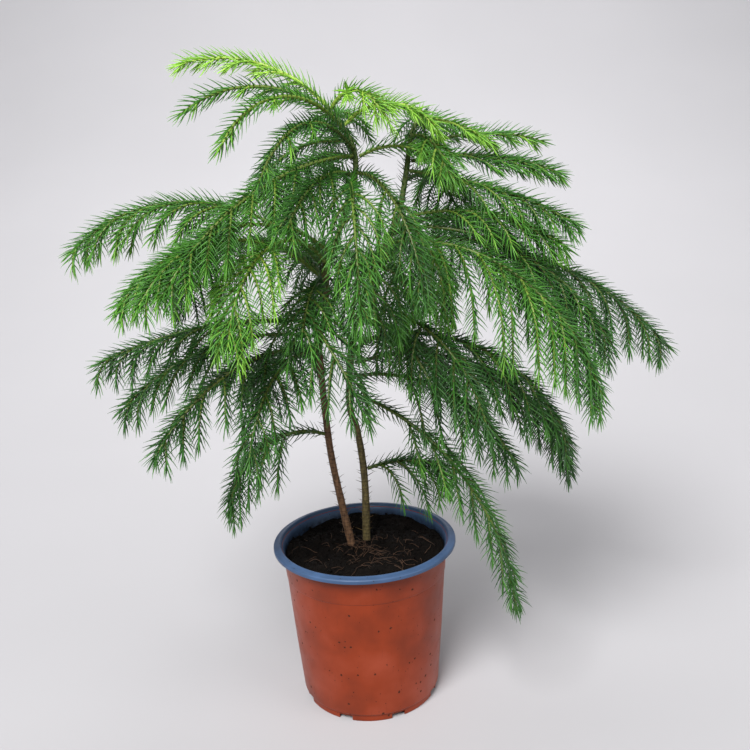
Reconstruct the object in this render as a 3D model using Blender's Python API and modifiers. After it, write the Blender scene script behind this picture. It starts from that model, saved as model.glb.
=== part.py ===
"""Potted araucaria: two young Norfolk Island pines growing in one plastic nursery pot.

Units are metres, +Z is up and the pot stands on Z = 0. The origin lies on that surface,
under the middle of the crown's outline, so the pot's own axis is a little to one side.
Bearings are degrees round +Z: 0 is +X (east), 90 is +Y (north). The front is south, -Y.

The pot is a turned shell. The soil fills it, with a socket for each stem. Each branch is a
node of its own: a drooping axis with side shoots in two ranks, joined into one solid.
"""

import math
import random
from collections import namedtuple

import bmesh
import bpy
import numpy as np
from mathutils import Matrix

MM = 0.001

# Where the pot's axis stands, so that the crown's outline is centred on the origin.
POT_X = -0.0171
POT_Y = -0.0119

# Pot
POT_HEIGHT = 0.108
BODY_TOP_RADIUS = 0.0544
BODY_BASE_RADIUS = 0.046
WALL = 0.0012
RIM_WIDTH = 0.0056  # how far the rolled rim stands out from the wall
RIM_RADIUS = BODY_TOP_RADIUS + RIM_WIDTH
RIM_DROP = 0.0042  # how far it turns down
RIM_ROUND = 0.0010
BEAD_WIDTH = 0.0019  # the raised ring round the mouth
BEAD_HEIGHT = 0.0007
STEP_LINE = POT_HEIGHT - 0.021  # height of the moulded line round the wall
STEP_DEPTH = 0.0004
FLOOR = 0.0016
FLOOR_CORNER = 0.002
FOOT_HEIGHT = 0.0045
FOOT_INSET = 0.0014
FOOT_ROUND = 0.0015
FOOT_TAPER = 0.0003
FOOT_GAPS = 8
FOOT_GAP = (0.008, 0.009, 0.007)  # size of each gap's cutter, which is half below the floor
DRAIN_HOLES = 8
DRAIN_RADIUS = 0.004
DRAIN_INSET = 0.010  # from the foot ring's outer side to a hole's middle
POT_STEPS = 40

# Soil
SOIL_DROP = 0.0075  # from the rim's top down to the soil
COLLAR_DEPTH = 0.0050  # how far under the soil's surface the stems' heights start
SOIL_CROWN = 0.0012  # how much higher the soil is in the middle
SOIL_EDGE = 0.0008  # how much lower it is at the wall
SOIL_CORNER = 0.003
SOIL_GAP = 0.0005  # between the soil and the pot's wall, whose sides are flat
ROOT_DEPTH = 0.030  # how deep each stem stands in the soil
SOCKET_OVERRUN = 0.005  # how far past the soil a stem's cutter reaches
CLEARANCE = 0.0003  # gap between pieces that touch

# Stems: (height above the collar, east, north, radius), in millimetres from the pot's axis.
STEMS = {
    "left": (
        (0, -8, 0, 2.8),
        (32, -13, 0, 2.4),
        (74, -19, -1, 2.2),
        (118, -21.5, -1, 2.1),
        (146, -22, -1, 2.1),
        (160, -17, 0, 2.3),
        (188, -15.5, 0, 2.8),
        (206, -8, 0, 1.9),
        (225, -1, 0, 1.7),
        (246, 6, 0, 1.6),
        (262, 5, 0, 1.5),
        (275, -2, 0, 1.3),
        (285, -9, 0, 1.1),
    ),
    "right": (
        (0, 1, 5, 2.7),
        (50, 2, 5, 2.3),
        (84, -1, 5, 2.1),
        (101, -5, 5, 2.1),
        (138, -2, 6, 2.0),
        (174, 9, 8, 1.9),
        (203, 23, 10, 2.1),
        (219, 31, 11, 1.8),
        (246, 37, 12, 1.6),
        (264, 40, 12, 1.4),
        (279, 46, 12, 1.1),
    ),
}
STEM_SMOOTHING = 1  # points added between each two of the stem's own

# Branches. Lengths are in millimetres and angles in degrees. height is above the collar. The
# axis sets out on its bearing, rise above level, turns down by fall and sideways by swing
# on its way. Its side shoots come in pairs past bare (a percentage of its length), spread
# from it, and turn down by hang. shoot is the length of the longest.
Branch = namedtuple("Branch", "stem height bearing rise length fall swing pairs shoot hang spread bare")
BRANCHES = {
    "left_top_west": Branch("left", 285, 172, 48, 96, 62, 0, 4, 20, 45, 40, 12),
    "left_top_east": Branch("left", 282, -45, 47, 50, 118, 0, 3, 24, 40, 50, 30),
    "left_top_south": Branch("left", 268, 234, 40, 114, 92, 0, 2, 13, 40, 45, 30),
    "left_top_north": Branch("left", 275, 95, 28, 75, 75, 0, 4, 40, 40, 50, 22),
    "left_crown_west": Branch("left", 264, 172, 10, 86, 88, 0, 3, 22, 45, 45, 25),
    "left_crown_southwest": Branch("left", 256, 224, -2, 155, 48, 0, 7, 46, 55, 50, 20),
    "left_crown_east": Branch("left", 246, -66, 0, 118, 82, 0, 5, 34, 60, 45, 32),
    "left_crown_northwest": Branch("left", 254, 130, 18, 100, 85, 0, 6, 50, 50, 50, 22),
    "left_middle_west": Branch("left", 189, 182, 54, 170, 97, 0, 7, 56, 70, 45, 32),
    "left_middle_southwest": Branch("left", 182, 211, 48, 142, 102, 0, 7, 46, 55, 50, 38),
    "left_middle_south": Branch("left", 166, 250, 20, 120, 90, 80, 5, 46, 50, 50, 22),
    "left_middle_front": Branch("left", 192, 244, 42, 132, 118, 0, 6, 50, 50, 50, 40),
    "left_middle_northwest": Branch("left", 185, 140, 38, 165, 105, 0, 7, 60, 50, 50, 35),
    "left_middle_north": Branch("left", 189, 95, 25, 150, 85, 0, 6, 58, 50, 50, 22),
    "left_low_west": Branch("left", 157, 182, 9, 142, 34, 0, 7, 50, 70, 50, 22),
    "left_low_southwest": Branch("left", 148, 198, 15, 130, 60, 0, 7, 44, 62, 55, 22),
    "left_low_south": Branch("left", 140, 230, 16, 136, 62, 0, 6, 42, 60, 50, 22),
    "left_low_north": Branch("left", 132, 115, 15, 140, 85, 0, 6, 55, 60, 55, 22),
    "left_lowest": Branch("left", 84, 216, 28, 88, 104, 0, 5, 42, 70, 50, 22),
    "right_top_east": Branch("right", 276, -4, -4, 48, 34, 0, 3, 18, 30, 45, 30),
    "right_top_north": Branch("right", 273, 80, 25, 70, 75, 0, 4, 38, 40, 50, 22),
    "right_top_south": Branch("right", 266, 300, 4, 46, 80, 0, 3, 24, 40, 50, 30),
    "right_crown_east": Branch("right", 251, 8, 10, 98, 34, 0, 6, 32, 36, 45, 25),
    "right_crown_southeast": Branch("right", 246, -18, -8, 106, 22, 0, 6, 38, 50, 45, 25),
    "right_crown_north": Branch("right", 240, 60, 15, 105, 80, 0, 6, 50, 50, 50, 22),
    "right_middle_southeast": Branch("right", 217, -18, 14, 104, 50, 0, 6, 40, 60, 45, 25),
    "right_middle_front": Branch("right", 203, -33, 8, 170, 80, 0, 9, 74, 95, 50, 15),
    "right_middle_south": Branch("right", 194, 262, 22, 90, 85, 10, 5, 54, 70, 55, 22),
    "right_middle_east": Branch("right", 205, 1, 3, 198, 54, 0, 8, 64, 80, 50, 24),
    "right_middle_northeast": Branch("right", 206, 42, 22, 165, 85, 0, 7, 60, 55, 55, 22),
    "right_middle_north": Branch("right", 188, 70, 22, 150, 85, 0, 6, 58, 55, 55, 22),
    "right_low_east": Branch("right", 142, -11, 18, 166, 92, 0, 7, 58, 65, 55, 28),
    "right_low_southeast": Branch("right", 120, -27, 14, 126, 76, 0, 6, 50, 70, 55, 28),
    "right_low_south": Branch("right", 156, 302, 10, 84, 62, 0, 4, 34, 60, 50, 28),
    "right_low_northeast": Branch("right", 137, 50, 15, 130, 90, 0, 6, 55, 60, 55, 22),
    "right_long": Branch("right", 110, -35, -9, 178, 76, 0, 7, 36, 45, 45, 22),
    "right_lowest": Branch("right", 57, -8, 22, 52, 40, 0, 4, 50, 90, 50, 12),
    "left_top_southwest": Branch("left", 275, 212, 38, 99, 74, 0, 2, 13, 40, 45, 30),
    "left_top_front": Branch("left", 259, 248, 30, 126, 78, 0, 3, 16, 40, 45, 30),
    "left_top_southeast": Branch("left", 272, -14, 46, 66, 108, 0, 3, 16, 40, 45, 30),
    "left_crown_front": Branch("left", 234, -88, 22, 142, 104, 0, 6, 38, 60, 45, 32),
    "left_crown_south": Branch("left", 244, 248, 12, 98, 56, 0, 5, 36, 50, 45, 25),
    "left_middle_outer": Branch("left", 199, 226, 38, 148, 90, 0, 6, 46, 50, 50, 42),
    "left_middle_inner": Branch("left", 178, 263, 20, 82, 66, 0, 4, 34, 50, 50, 30),
    "left_low_front": Branch("left", 134, 250, 28, 116, 96, 0, 5, 42, 60, 50, 30),
    "right_crown_northeast": Branch("right", 258, 20, 18, 92, 34, 0, 3, 20, 40, 45, 28),
    "right_middle_inner": Branch("right", 213, -62, 8, 88, 112, 0, 4, 34, 60, 45, 35),
    "right_middle_outer": Branch("right", 212, -17, 4, 158, 68, 0, 8, 62, 95, 50, 28),
    "right_low_outer": Branch("right", 128, -3, 18, 176, 94, 0, 7, 56, 72, 50, 34),
    "right_low_front": Branch("right", 162, -48, 12, 128, 86, 0, 6, 52, 75, 50, 26),
    "left_crown_northeast": Branch("left", 254, 6, 28, 64, 84, 0, 4, 28, 45, 45, 30),
    "right_middle_hanging": Branch("right", 197, -80, 8, 70, 98, 0, 4, 36, 60, 45, 35),
}
STEM_SIDES = 8
AXIS_SIDES = 4
SHOOT_SIDES = 3
AXIS_POINTS = 9
SHOOT_POINTS = 5
AXIS_RADII = (1.25 * MM, 0.6 * MM)  # at the stem, at the tip
SHOOT_RADII = (0.75 * MM, 0.45 * MM)
SHOOT_CURL = 14  # how far a side shoot turns forward
STEEPEST = -86  # no shoot turns further down than this
TWIG_SEAT = 0.1 * MM  # more than CLEARANCE from a stem, whose sides are flat
CORNER = 0.65  # how much of a slanting twig's radius counts at its seat
STRAIGHT_ON = 0.9  # cosine past which a branch carries on from the stem's tip
TIP_GAP = 0.8 * MM
TWIG_ROOM = 1.0 * MM  # air kept round a twig
HEEL_BEADS = 6  # of a side shoot, which lie too near its own axis to count
TURNS = (0, 7, -7, 14, -14, 22, -22, 30, -30, 40, -40, 52, -52)  # tried in order to keep it

# name: colour, roughness
FINISHES = {
    "terracotta_plastic": ((0.30, 0.045, 0.014), 0.38),
    "peat": ((0.012, 0.008, 0.005), 0.95),
    "bark": ((0.11, 0.065, 0.028), 0.85),
    "green_twig": ((0.10, 0.22, 0.04), 0.55),
}


def soil_level():
    return POT_HEIGHT - SOIL_DROP


def collar_level():
    """Where the stems' and branches' heights are measured from, a little under the soil."""
    return soil_level() - COLLAR_DEPTH


def wall_radius(height):
    """Outer radius of the pot's wall at a height, above the moulded line's little step."""
    return BODY_BASE_RADIUS + (BODY_TOP_RADIUS - BODY_BASE_RADIUS) * height / POT_HEIGHT


# ---------------------------------------------------------------- scene and materials


def clear_scene():
    for found in list(bpy.data.objects):
        bpy.data.objects.remove(found, do_unlink=True)
    for name in ("potted_araucaria", "cutters"):
        collection = bpy.data.collections.new(name)
        bpy.context.scene.collection.children.link(collection)


def finish(name, piece):
    """Gives a piece a material of its own in one of the finishes."""
    colour, roughness = FINISHES[name]
    material = bpy.data.materials.new(f"{name}_{piece.name}")
    material.use_nodes = True
    shader = material.node_tree.nodes["Principled BSDF"]
    shader.inputs["Base Color"].default_value = (*colour, 1)
    shader.inputs["Roughness"].default_value = roughness
    shader.inputs["Metallic"].default_value = 0
    piece.data.materials.clear()
    piece.data.materials.append(material)


def add(name, data, collection="potted_araucaria"):
    """Links a new object that stands on the pot's axis."""
    piece = bpy.data.objects.new(name, data)
    piece.location = (POT_X, POT_Y, 0)
    bpy.data.collections[collection].objects.link(piece)
    if collection == "cutters":
        piece.hide_render = True
        piece.display_type = "WIRE"
    bpy.context.view_layer.update()
    return piece


def settled(piece):
    """The evaluated mesh of a piece."""
    graph = bpy.context.evaluated_depsgraph_get()
    return bpy.data.meshes.new_from_object(piece.evaluated_get(graph))


def weld(mesh, distance=1e-7):
    shape = bmesh.new()
    shape.from_mesh(mesh)
    bmesh.ops.remove_doubles(shape, verts=shape.verts, dist=distance)
    shape.to_mesh(mesh)
    shape.free()


def boolean(piece, operation, other, solver="EXACT"):
    modifier = piece.modifiers.new(operation.lower(), "BOOLEAN")
    modifier.operation = operation
    modifier.solver = solver
    modifier.object = other


# ---------------------------------------------------------------- pot and soil


def turned(name, profile, collection="potted_araucaria"):
    """A turned solid from (radius, height) points that end on the axis, outer side downward."""
    mesh = bpy.data.meshes.new(name)
    points = [(radius, 0, height) for radius, height in profile]
    mesh.from_pydata(points, [(i, i + 1) for i in range(len(points) - 1)], [])
    piece = add(name, mesh, collection)
    screw = piece.modifiers.new("turn", "SCREW")
    screw.steps = screw.render_steps = POT_STEPS
    screw.use_merge_vertices = True
    screw.merge_threshold = 1e-6
    screw.use_smooth_shade = True
    return piece


def pot_profile():
    """From the middle of the floor up the inside, over the rim, and down to the foot."""
    lip = WALL * 0.9
    top = POT_HEIGHT
    shelf = top - BEAD_HEIGHT
    under = shelf - lip
    mouth = wall_radius(top) - WALL
    floor_top = FOOT_HEIGHT + FLOOR
    corner_top = floor_top + FLOOR_CORNER
    foot = BODY_BASE_RADIUS - FOOT_INSET
    return [
        (0, floor_top),
        (wall_radius(floor_top) - WALL - FLOOR_CORNER, floor_top),
        (wall_radius(corner_top) - WALL, corner_top),
        (mouth, top - 0.3 * BEAD_WIDTH),
        (mouth + 0.2 * BEAD_WIDTH, top),
        (mouth + 0.8 * BEAD_WIDTH, top),
        (mouth + BEAD_WIDTH, shelf),
        (RIM_RADIUS - RIM_ROUND, shelf),
        (RIM_RADIUS - 0.3 * RIM_ROUND, shelf - 0.3 * RIM_ROUND),
        (RIM_RADIUS, shelf - RIM_ROUND),
        (RIM_RADIUS, top - RIM_DROP),
        (RIM_RADIUS - lip, top - RIM_DROP),
        (RIM_RADIUS - lip, under),
        (wall_radius(under), under),
        (wall_radius(STEP_LINE), STEP_LINE),
        (wall_radius(STEP_LINE) - STEP_DEPTH, STEP_LINE - STEP_DEPTH),
        (BODY_BASE_RADIUS, FOOT_HEIGHT + FOOT_ROUND),
        (foot, FOOT_HEIGHT),
        (foot - FOOT_TAPER, 0),
        (foot - FOOT_TAPER - WALL, 0),
        (foot - FOOT_TAPER - WALL, FOOT_HEIGHT),
        (0, FOOT_HEIGHT),
    ]


def base_cutter():
    """The gaps in the foot ring and the drainage holes beside it, as one cutter."""
    shape = bmesh.new()
    ring = BODY_BASE_RADIUS - FOOT_INSET
    for i in range(FOOT_GAPS):
        turn = 2 * math.pi * (i + 0.5) / FOOT_GAPS
        gap = bmesh.ops.create_cube(shape, size=1)["verts"]
        bmesh.ops.scale(shape, vec=FOOT_GAP, verts=gap)
        bmesh.ops.translate(shape, vec=(ring, 0, 0), verts=gap)
        bmesh.ops.rotate(shape, matrix=Matrix.Rotation(turn, 3, "Z"), verts=gap)
    for i in range(DRAIN_HOLES):
        turn = 2 * math.pi * i / DRAIN_HOLES
        hole = bmesh.ops.create_cone(
            shape,
            cap_ends=True,
            segments=12,
            radius1=DRAIN_RADIUS,
            radius2=DRAIN_RADIUS,
            depth=4 * FOOT_HEIGHT,
        )["verts"]
        bmesh.ops.translate(shape, vec=(ring - DRAIN_INSET, 0, FOOT_HEIGHT), verts=hole)
        bmesh.ops.rotate(shape, matrix=Matrix.Rotation(turn, 3, "Z"), verts=hole)
    mesh = bpy.data.meshes.new("base_cutter")
    shape.to_mesh(mesh)
    shape.free()
    return add("base_cutter", mesh, "cutters")


def make_pot():
    pot = turned("pot", pot_profile())
    boolean(pot, "DIFFERENCE", base_cutter())
    finish("terracotta_plastic", pot)


def soil_radius(height):
    return wall_radius(height) - WALL - SOIL_GAP


def make_soil():
    bottom = FOOT_HEIGHT + FLOOR + CLEARANCE
    level = soil_level()
    edge = soil_radius(level)
    profile = [
        (0, level + SOIL_CROWN),
        (0.35 * edge, level + 0.8 * SOIL_CROWN),
        (0.7 * edge, level),
        (edge, level - SOIL_EDGE),
        (soil_radius(bottom + SOIL_CORNER), bottom + SOIL_CORNER),
        (soil_radius(bottom) - SOIL_CORNER, bottom),
        (0, bottom),
    ]
    soil = turned("soil", profile)
    for name in STEMS:
        socket = make_stem(name, grow_by=CLEARANCE)
        boolean(soil, "DIFFERENCE", socket)
    finish("peat", soil)


# ---------------------------------------------------------------- stems


def stem_line(name):
    """Points and radii of a stem from its buried foot to its tip, from the pot's axis."""
    knots = np.array(STEMS[name], float) * MM
    line = knots[:, [1, 2, 0]] + (0, 0, collar_level())
    foot = line[0] - (0, 0, ROOT_DEPTH)
    return smooth(np.vstack([foot, line]), np.append(knots[0, 3], knots[:, 3]), STEM_SMOOTHING)


def smooth(points, radii, added):
    """A smooth curve through all the points, with more between each two."""
    ends = np.vstack([2 * points[0] - points[1], points, 2 * points[-1] - points[-2]])
    line, widths = [points[0]], [radii[0]]
    for i in range(1, len(points)):
        a, b, c, d = ends[i - 1 : i + 3]
        for k in range(1, added + 2):
            t = k / (added + 1)
            curve = 2 * b + (c - a) * t + (2 * a - 5 * b + 4 * c - d) * t**2
            line.append((curve + (3 * b - a - 3 * c + d) * t**3) / 2)
            widths.append(radii[i - 1] + (radii[i] - radii[i - 1]) * t)
    return np.array(line), np.array(widths)


def stem_at(name, height):
    """The stem's middle, direction and radius at a height above the soil."""
    line, radii = stem_line(name)
    level = collar_level() + height
    i = min(int(np.searchsorted(line[:, 2], level)), len(line) - 1)
    run = line[i] - line[i - 1]
    t = (level - line[i - 1][2]) / run[2]
    radius = radii[i - 1] + (radii[i] - radii[i - 1]) * t
    return line[i - 1] + run * t, run / np.linalg.norm(run), radius


def section_of(sides):
    """A closed flat outline of radius 1 mm, to sweep along a twig."""
    name = f"section_{sides}"
    if name in bpy.data.objects:
        return bpy.data.objects[name]
    outline = bpy.data.curves.new(name, "CURVE")
    spline = outline.splines.new("POLY")
    spline.points.add(sides - 1)
    spline.use_cyclic_u = True
    for i in range(sides):
        turn = -2 * math.pi * i / sides
        spline.points[i].co = (MM * math.cos(turn), MM * math.sin(turn), 0, 1)
    return add(name, outline, "cutters")


def tube(name, lines, sides, collection="potted_araucaria"):
    """A curve object with one open tapered tube for each (points, radii)."""
    curve = bpy.data.curves.new(name, "CURVE")
    curve.dimensions = "3D"
    curve.bevel_mode = "OBJECT"
    curve.bevel_object = section_of(sides)
    curve.use_fill_caps = True
    for points, radii in lines:
        spline = curve.splines.new("POLY")
        spline.points.add(len(points) - 1)
        for i, (point, radius) in enumerate(zip(points, radii)):
            spline.points[i].co = (*point, 1)
            spline.points[i].radius = radius / MM
    return add(name, curve, collection)


def solid_tube(name, lines, sides, collection="potted_araucaria"):
    """The same as a mesh, with its caps welded."""
    guide = tube(f"{name}_guide", lines, sides, collection)
    piece = add(name, settled(guide), collection)
    weld(piece.data)
    piece.matrix_world = guide.matrix_world
    bpy.data.objects.remove(guide, do_unlink=True)
    return piece


def make_stem(name, grow_by=0.0):
    """One stem or, made a little larger, the cutter for its socket in the soil."""
    points, radii = stem_line(name)
    if grow_by:
        foot = points[0] + (points[0] - points[1]) * grow_by / (points[1] - points[0])[2]
        count = np.searchsorted(points[:, 2], soil_level() + SOCKET_OVERRUN) + 1
        points = np.vstack([foot, points[:count]])
        radii = np.append(radii[0], radii[:count]) + grow_by
        return solid_tube(f"socket_{name}", [(points, radii)], STEM_SIDES, "cutters")
    stem = solid_tube(f"stem_{name}", [(points, radii)], STEM_SIDES)
    finish("bark", stem)
    return stem


# ---------------------------------------------------------------- branches


def heading(bearing, lift):
    """The unit vector on a bearing, lifted above level, both in degrees."""
    turn, up = math.radians(bearing), math.radians(lift)
    return np.array([math.cos(turn) * math.cos(up), math.sin(turn) * math.cos(up), math.sin(up)])


def grow(start, bearing, lift, length, fall, swing, count):
    """Points of a shoot that turns down and sideways as it goes."""
    path = [np.array(start, float)]
    for i in range(count - 1):
        t = (i + 0.5) / (count - 1)
        step = heading(bearing + swing * t, max(lift - fall * t, STEEPEST))
        path.append(path[-1] + step * length / (count - 1))
    return np.array(path)


def along(points, fraction):
    """The point at a fraction of the way along evenly spaced points."""
    place = fraction * (len(points) - 1)
    i = min(int(place), len(points) - 2)
    return points[i] + (points[i + 1] - points[i]) * (place - i)


def beads(points, radii, spacing=1.5 * MM):
    """Points closely spaced along a tube, as rows of x, y, z and radius."""
    rows = []
    for i in range(len(points) - 1):
        count = max(1, int(np.linalg.norm(points[i + 1] - points[i]) / spacing))
        for k in range(count):
            t = k / count
            radius = radii[i] + (radii[i + 1] - radii[i]) * t
            rows.append([*(points[i] + (points[i + 1] - points[i]) * t), radius])
    rows.append([*points[-1], radii[-1]])
    return np.array(rows)


def room(own, others):
    """The least air between a tube's beads and all the others."""
    reach = 8 * MM
    if not len(own):
        return reach
    low, high = own[:, :3].min(0) - reach, own[:, :3].max(0) + reach
    near = others[((others[:, :3] > low) & (others[:, :3] < high)).all(1)]
    if not len(near):
        return reach
    apart = np.linalg.norm(own[:, None, :3] - near[None, :, :3], axis=2)
    return (apart - own[:, None, 3] - near[None, :, 3]).min()


def axis_of(branch):
    """A branch's axis, from the side of its stem or, where it runs straight on, from the tip."""
    middle, along_stem, radius = stem_at(branch.stem, branch.height * MM)
    out = heading(branch.bearing, branch.rise)
    slant = abs(out @ along_stem)
    if slant > STRAIGHT_ON:
        start = stem_line(branch.stem)[0][-1] + out * TIP_GAP
    else:
        clear = radius + CLEARANCE + TWIG_SEAT + CORNER * AXIS_RADII[0] * slant
        start = middle + out * clear / math.sqrt(1 - slant**2)
    length = branch.length * MM
    line = grow(start, branch.bearing, branch.rise, length, branch.fall, branch.swing, AXIS_POINTS)
    return line, np.linspace(*AXIS_RADII, AXIS_POINTS)


def side_shoots(branch, axis, radii, others, seed):
    """Two ranks of side shoots. Each turns a little where it would touch another twig."""
    chance = random.Random(seed)
    count = 2 * branch.pairs
    bare = branch.bare / 100
    shoots = []
    for i in range(count):
        s = bare + (0.95 - bare) * (i + 0.5) / count
        side = 1 if i % 2 else -1
        bearing = branch.bearing + branch.swing * s
        ahead = heading(bearing, max(branch.rise - branch.fall * s, STEEPEST))
        spread = math.radians(branch.spread * (1.1 - 0.35 * s) + chance.uniform(-6, 6))
        out = ahead * math.cos(spread) + heading(bearing + 90 * side, 0) * math.sin(spread)
        bearing = math.degrees(math.atan2(out[1], out[0]))
        lift = math.degrees(math.asin(out[2]))
        size = branch.shoot * MM * min(1, 0.5 + 1.6 * s) * (1 - 0.7 * s * s)
        size *= chance.uniform(0.88, 1.12)
        hang = branch.hang * chance.uniform(0.8, 1.15)
        thick = min(SHOOT_RADII[0], 0.85 * along(radii, s))
        widths = np.linspace(thick, SHOOT_RADII[1], SHOOT_POINTS)
        tries = []
        for turn in TURNS:
            course = bearing + turn * side
            path = grow(along(axis, s), course, lift, size, hang, -SHOOT_CURL * side, SHOOT_POINTS)
            rows = beads(path, widths)
            free = min(room(rows, others), room(rows[HEEL_BEADS:], beads(axis, radii)))
            tries.append((free, path, rows))
            if tries[-1][0] > TWIG_ROOM:
                break
        _, path, rows = max(tries, key=lambda found: found[0])
        others = np.vstack([others, rows])
        shoots.append((path, widths))
    return shoots


def plan_branches():
    """Each branch's axis and side shoots as (points, radii), clear of all the others."""
    axes = {name: axis_of(branch) for name, branch in BRANCHES.items()}
    taken = {f"stem_{name}": beads(*stem_line(name)) for name in STEMS}
    taken.update({name: beads(*axis) for name, axis in axes.items()})
    plan = {}
    for seed, (name, branch) in enumerate(BRANCHES.items(), 1):
        others = np.vstack([rows for other, rows in taken.items() if other != name])
        shoots = side_shoots(branch, *axes[name], others, seed)
        taken[name] = np.vstack([taken[name], *(beads(*shoot) for shoot in shoots)])
        plan[name] = (axes[name], shoots)
    return plan


def make_branch(name, axis, shoots):
    """The axis and its side shoots joined into one solid."""
    branch = solid_tube(f"branch_{name}", [axis], AXIS_SIDES)
    coarse = [(points[::2], radii[::2]) for points, radii in shoots]
    ranks = solid_tube(f"shoots_{name}", coarse, SHOOT_SIDES, "cutters")
    boolean(branch, "UNION", ranks, solver="MANIFOLD")
    branch.data = settled(branch)
    branch.modifiers.clear()
    bpy.data.objects.remove(ranks, do_unlink=True)
    finish("green_twig", branch)


def main():
    clear_scene()
    make_pot()
    make_soil()
    for name in STEMS:
        make_stem(name)
    for name, (axis, shoots) in plan_branches().items():
        make_branch(name, axis, shoots)


main()
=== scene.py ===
"""Potted araucaria: the finished look of two young Norfolk Island pines in one nursery pot.

The file is laid out as an add-on and run as a script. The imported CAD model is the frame, and
each finished piece stands where its CAD node does and replaces it. Units are metres and +Z
is up. Bearings are degrees round +Z: 0 is +X (east), 90 is +Y (north). The front is -Y.
"""

import math
import random
from collections import namedtuple

import bmesh
import bpy
import numpy as np
from mathutils import Matrix, Vector


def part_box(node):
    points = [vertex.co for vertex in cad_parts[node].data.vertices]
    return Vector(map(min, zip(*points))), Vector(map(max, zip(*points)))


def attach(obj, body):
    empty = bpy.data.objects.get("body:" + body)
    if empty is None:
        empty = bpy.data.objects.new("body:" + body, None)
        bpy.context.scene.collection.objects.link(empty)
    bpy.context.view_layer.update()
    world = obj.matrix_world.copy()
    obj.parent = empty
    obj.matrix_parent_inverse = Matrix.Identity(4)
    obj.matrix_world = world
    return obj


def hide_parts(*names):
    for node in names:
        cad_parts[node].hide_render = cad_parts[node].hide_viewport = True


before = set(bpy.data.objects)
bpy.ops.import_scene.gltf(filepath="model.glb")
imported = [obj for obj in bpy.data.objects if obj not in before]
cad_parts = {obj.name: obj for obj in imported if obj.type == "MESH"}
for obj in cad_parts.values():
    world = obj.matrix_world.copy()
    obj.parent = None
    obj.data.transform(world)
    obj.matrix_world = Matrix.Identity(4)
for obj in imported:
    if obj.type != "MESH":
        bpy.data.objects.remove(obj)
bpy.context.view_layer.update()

bl_info = {
    "name": "Potted araucaria",
    "version": (1, 0, 0),
    "blender": (4, 5, 0),
    "location": "View3D > Sidebar > Araucaria",
    "description": "Builds a potted araucaria, piece by piece, round its CAD frame",
    "category": "Object",
}

MM = 0.001


# ------------------------------------------------------------------ sizes from the frame

POT_LOW, POT_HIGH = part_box("pot")
SOIL_LOW, SOIL_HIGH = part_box("soil")
POT_AXIS = Vector(((POT_LOW.x + POT_HIGH.x) / 2, (POT_LOW.y + POT_HIGH.y) / 2, 0))
POT_HEIGHT = POT_HIGH.z
RIM_RADIUS = (POT_HIGH.x - POT_LOW.x) / 2
SOIL_CROWN = 1.2 * MM  # how much higher the soil is in the middle
SOIL_LEVEL = SOIL_HIGH.z - SOIL_CROWN
COLLAR_LEVEL = SOIL_LEVEL - 5 * MM  # where the heights along the stems start

# Pot
RIM_DROP = 3.6 * MM
RIM_BEAD = 0.7 * MM
BODY_TOP_RADIUS = 54.4 * MM
BODY_BASE_RADIUS = 46 * MM
WALL = 1.2 * MM
STEP_LINE = 87 * MM
STEP_DEPTH = 0.4 * MM
FOOT_HEIGHT = 4.5 * MM
FOOT_INSET = 1.4 * MM
FLOOR = 1.6 * MM
POT_STEPS = 144
FOOT_GAPS = 8
FOOT_GAP_WIDTH = 9 * MM
DRAIN_HOLES = 8
DRAIN_RADIUS = 4 * MM

# Soil
SOIL_BOTTOM_ROUND = 3 * MM
CRUMBED_RADIUS = 50.5 * MM  # how far out the crumbs lie
CRUMB_SPACING = 1.25 * MM
LUMP_SPACING = 4.6 * MM
LUMP_SIZE = 2.2  # times a crumb's
FIBRES = 110
FIBRE_POINTS = 9
FIBRE_LENGTHS = (4 * MM, 13 * MM)
FIBRE_RADII = (0.1 * MM, 0.24 * MM)
FIBRE_REACH = 46 * MM  # how far out a fibre may start
FIBRE_LIMIT = 50 * MM  # how far out it may run

# Stems: (height above the collar, east, north, radius), in millimetres from the pot's axis.
STEMS = {
    "left": (
        (0, -8, 0, 2.8),
        (32, -13, 0, 2.4),
        (74, -19, -1, 2.2),
        (118, -21.5, -1, 2.1),
        (146, -22, -1, 2.1),
        (160, -17, 0, 2.3),
        (188, -15.5, 0, 2.8),
        (206, -8, 0, 1.9),
        (225, -1, 0, 1.7),
        (246, 6, 0, 1.6),
        (262, 5, 0, 1.5),
        (275, -2, 0, 1.3),
        (285, -9, 0, 1.1),
    ),
    "right": (
        (0, 1, 5, 2.7),
        (50, 2, 5, 2.3),
        (84, -1, 5, 2.1),
        (101, -5, 5, 2.1),
        (138, -2, 6, 2.0),
        (174, 9, 8, 1.9),
        (203, 23, 10, 2.1),
        (219, 31, 11, 1.8),
        (246, 37, 12, 1.6),
        (264, 40, 12, 1.4),
        (279, 46, 12, 1.1),
    ),
}
ROOT_DEPTH = 30 * MM
LEADER_FOOT = 196 * MM  # above this height over the soil the stems carry green needles
DRY_OVERLAP = 12 * MM  # how far past that height the dry needles go on
WHORL_REACH = 3.5 * MM  # how far up and down the stem a branch's swelling is felt
SCAR_SPACING = 2.6 * MM
STEM_SMOOTHING = 1
STEM_SIDES = 16

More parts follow.
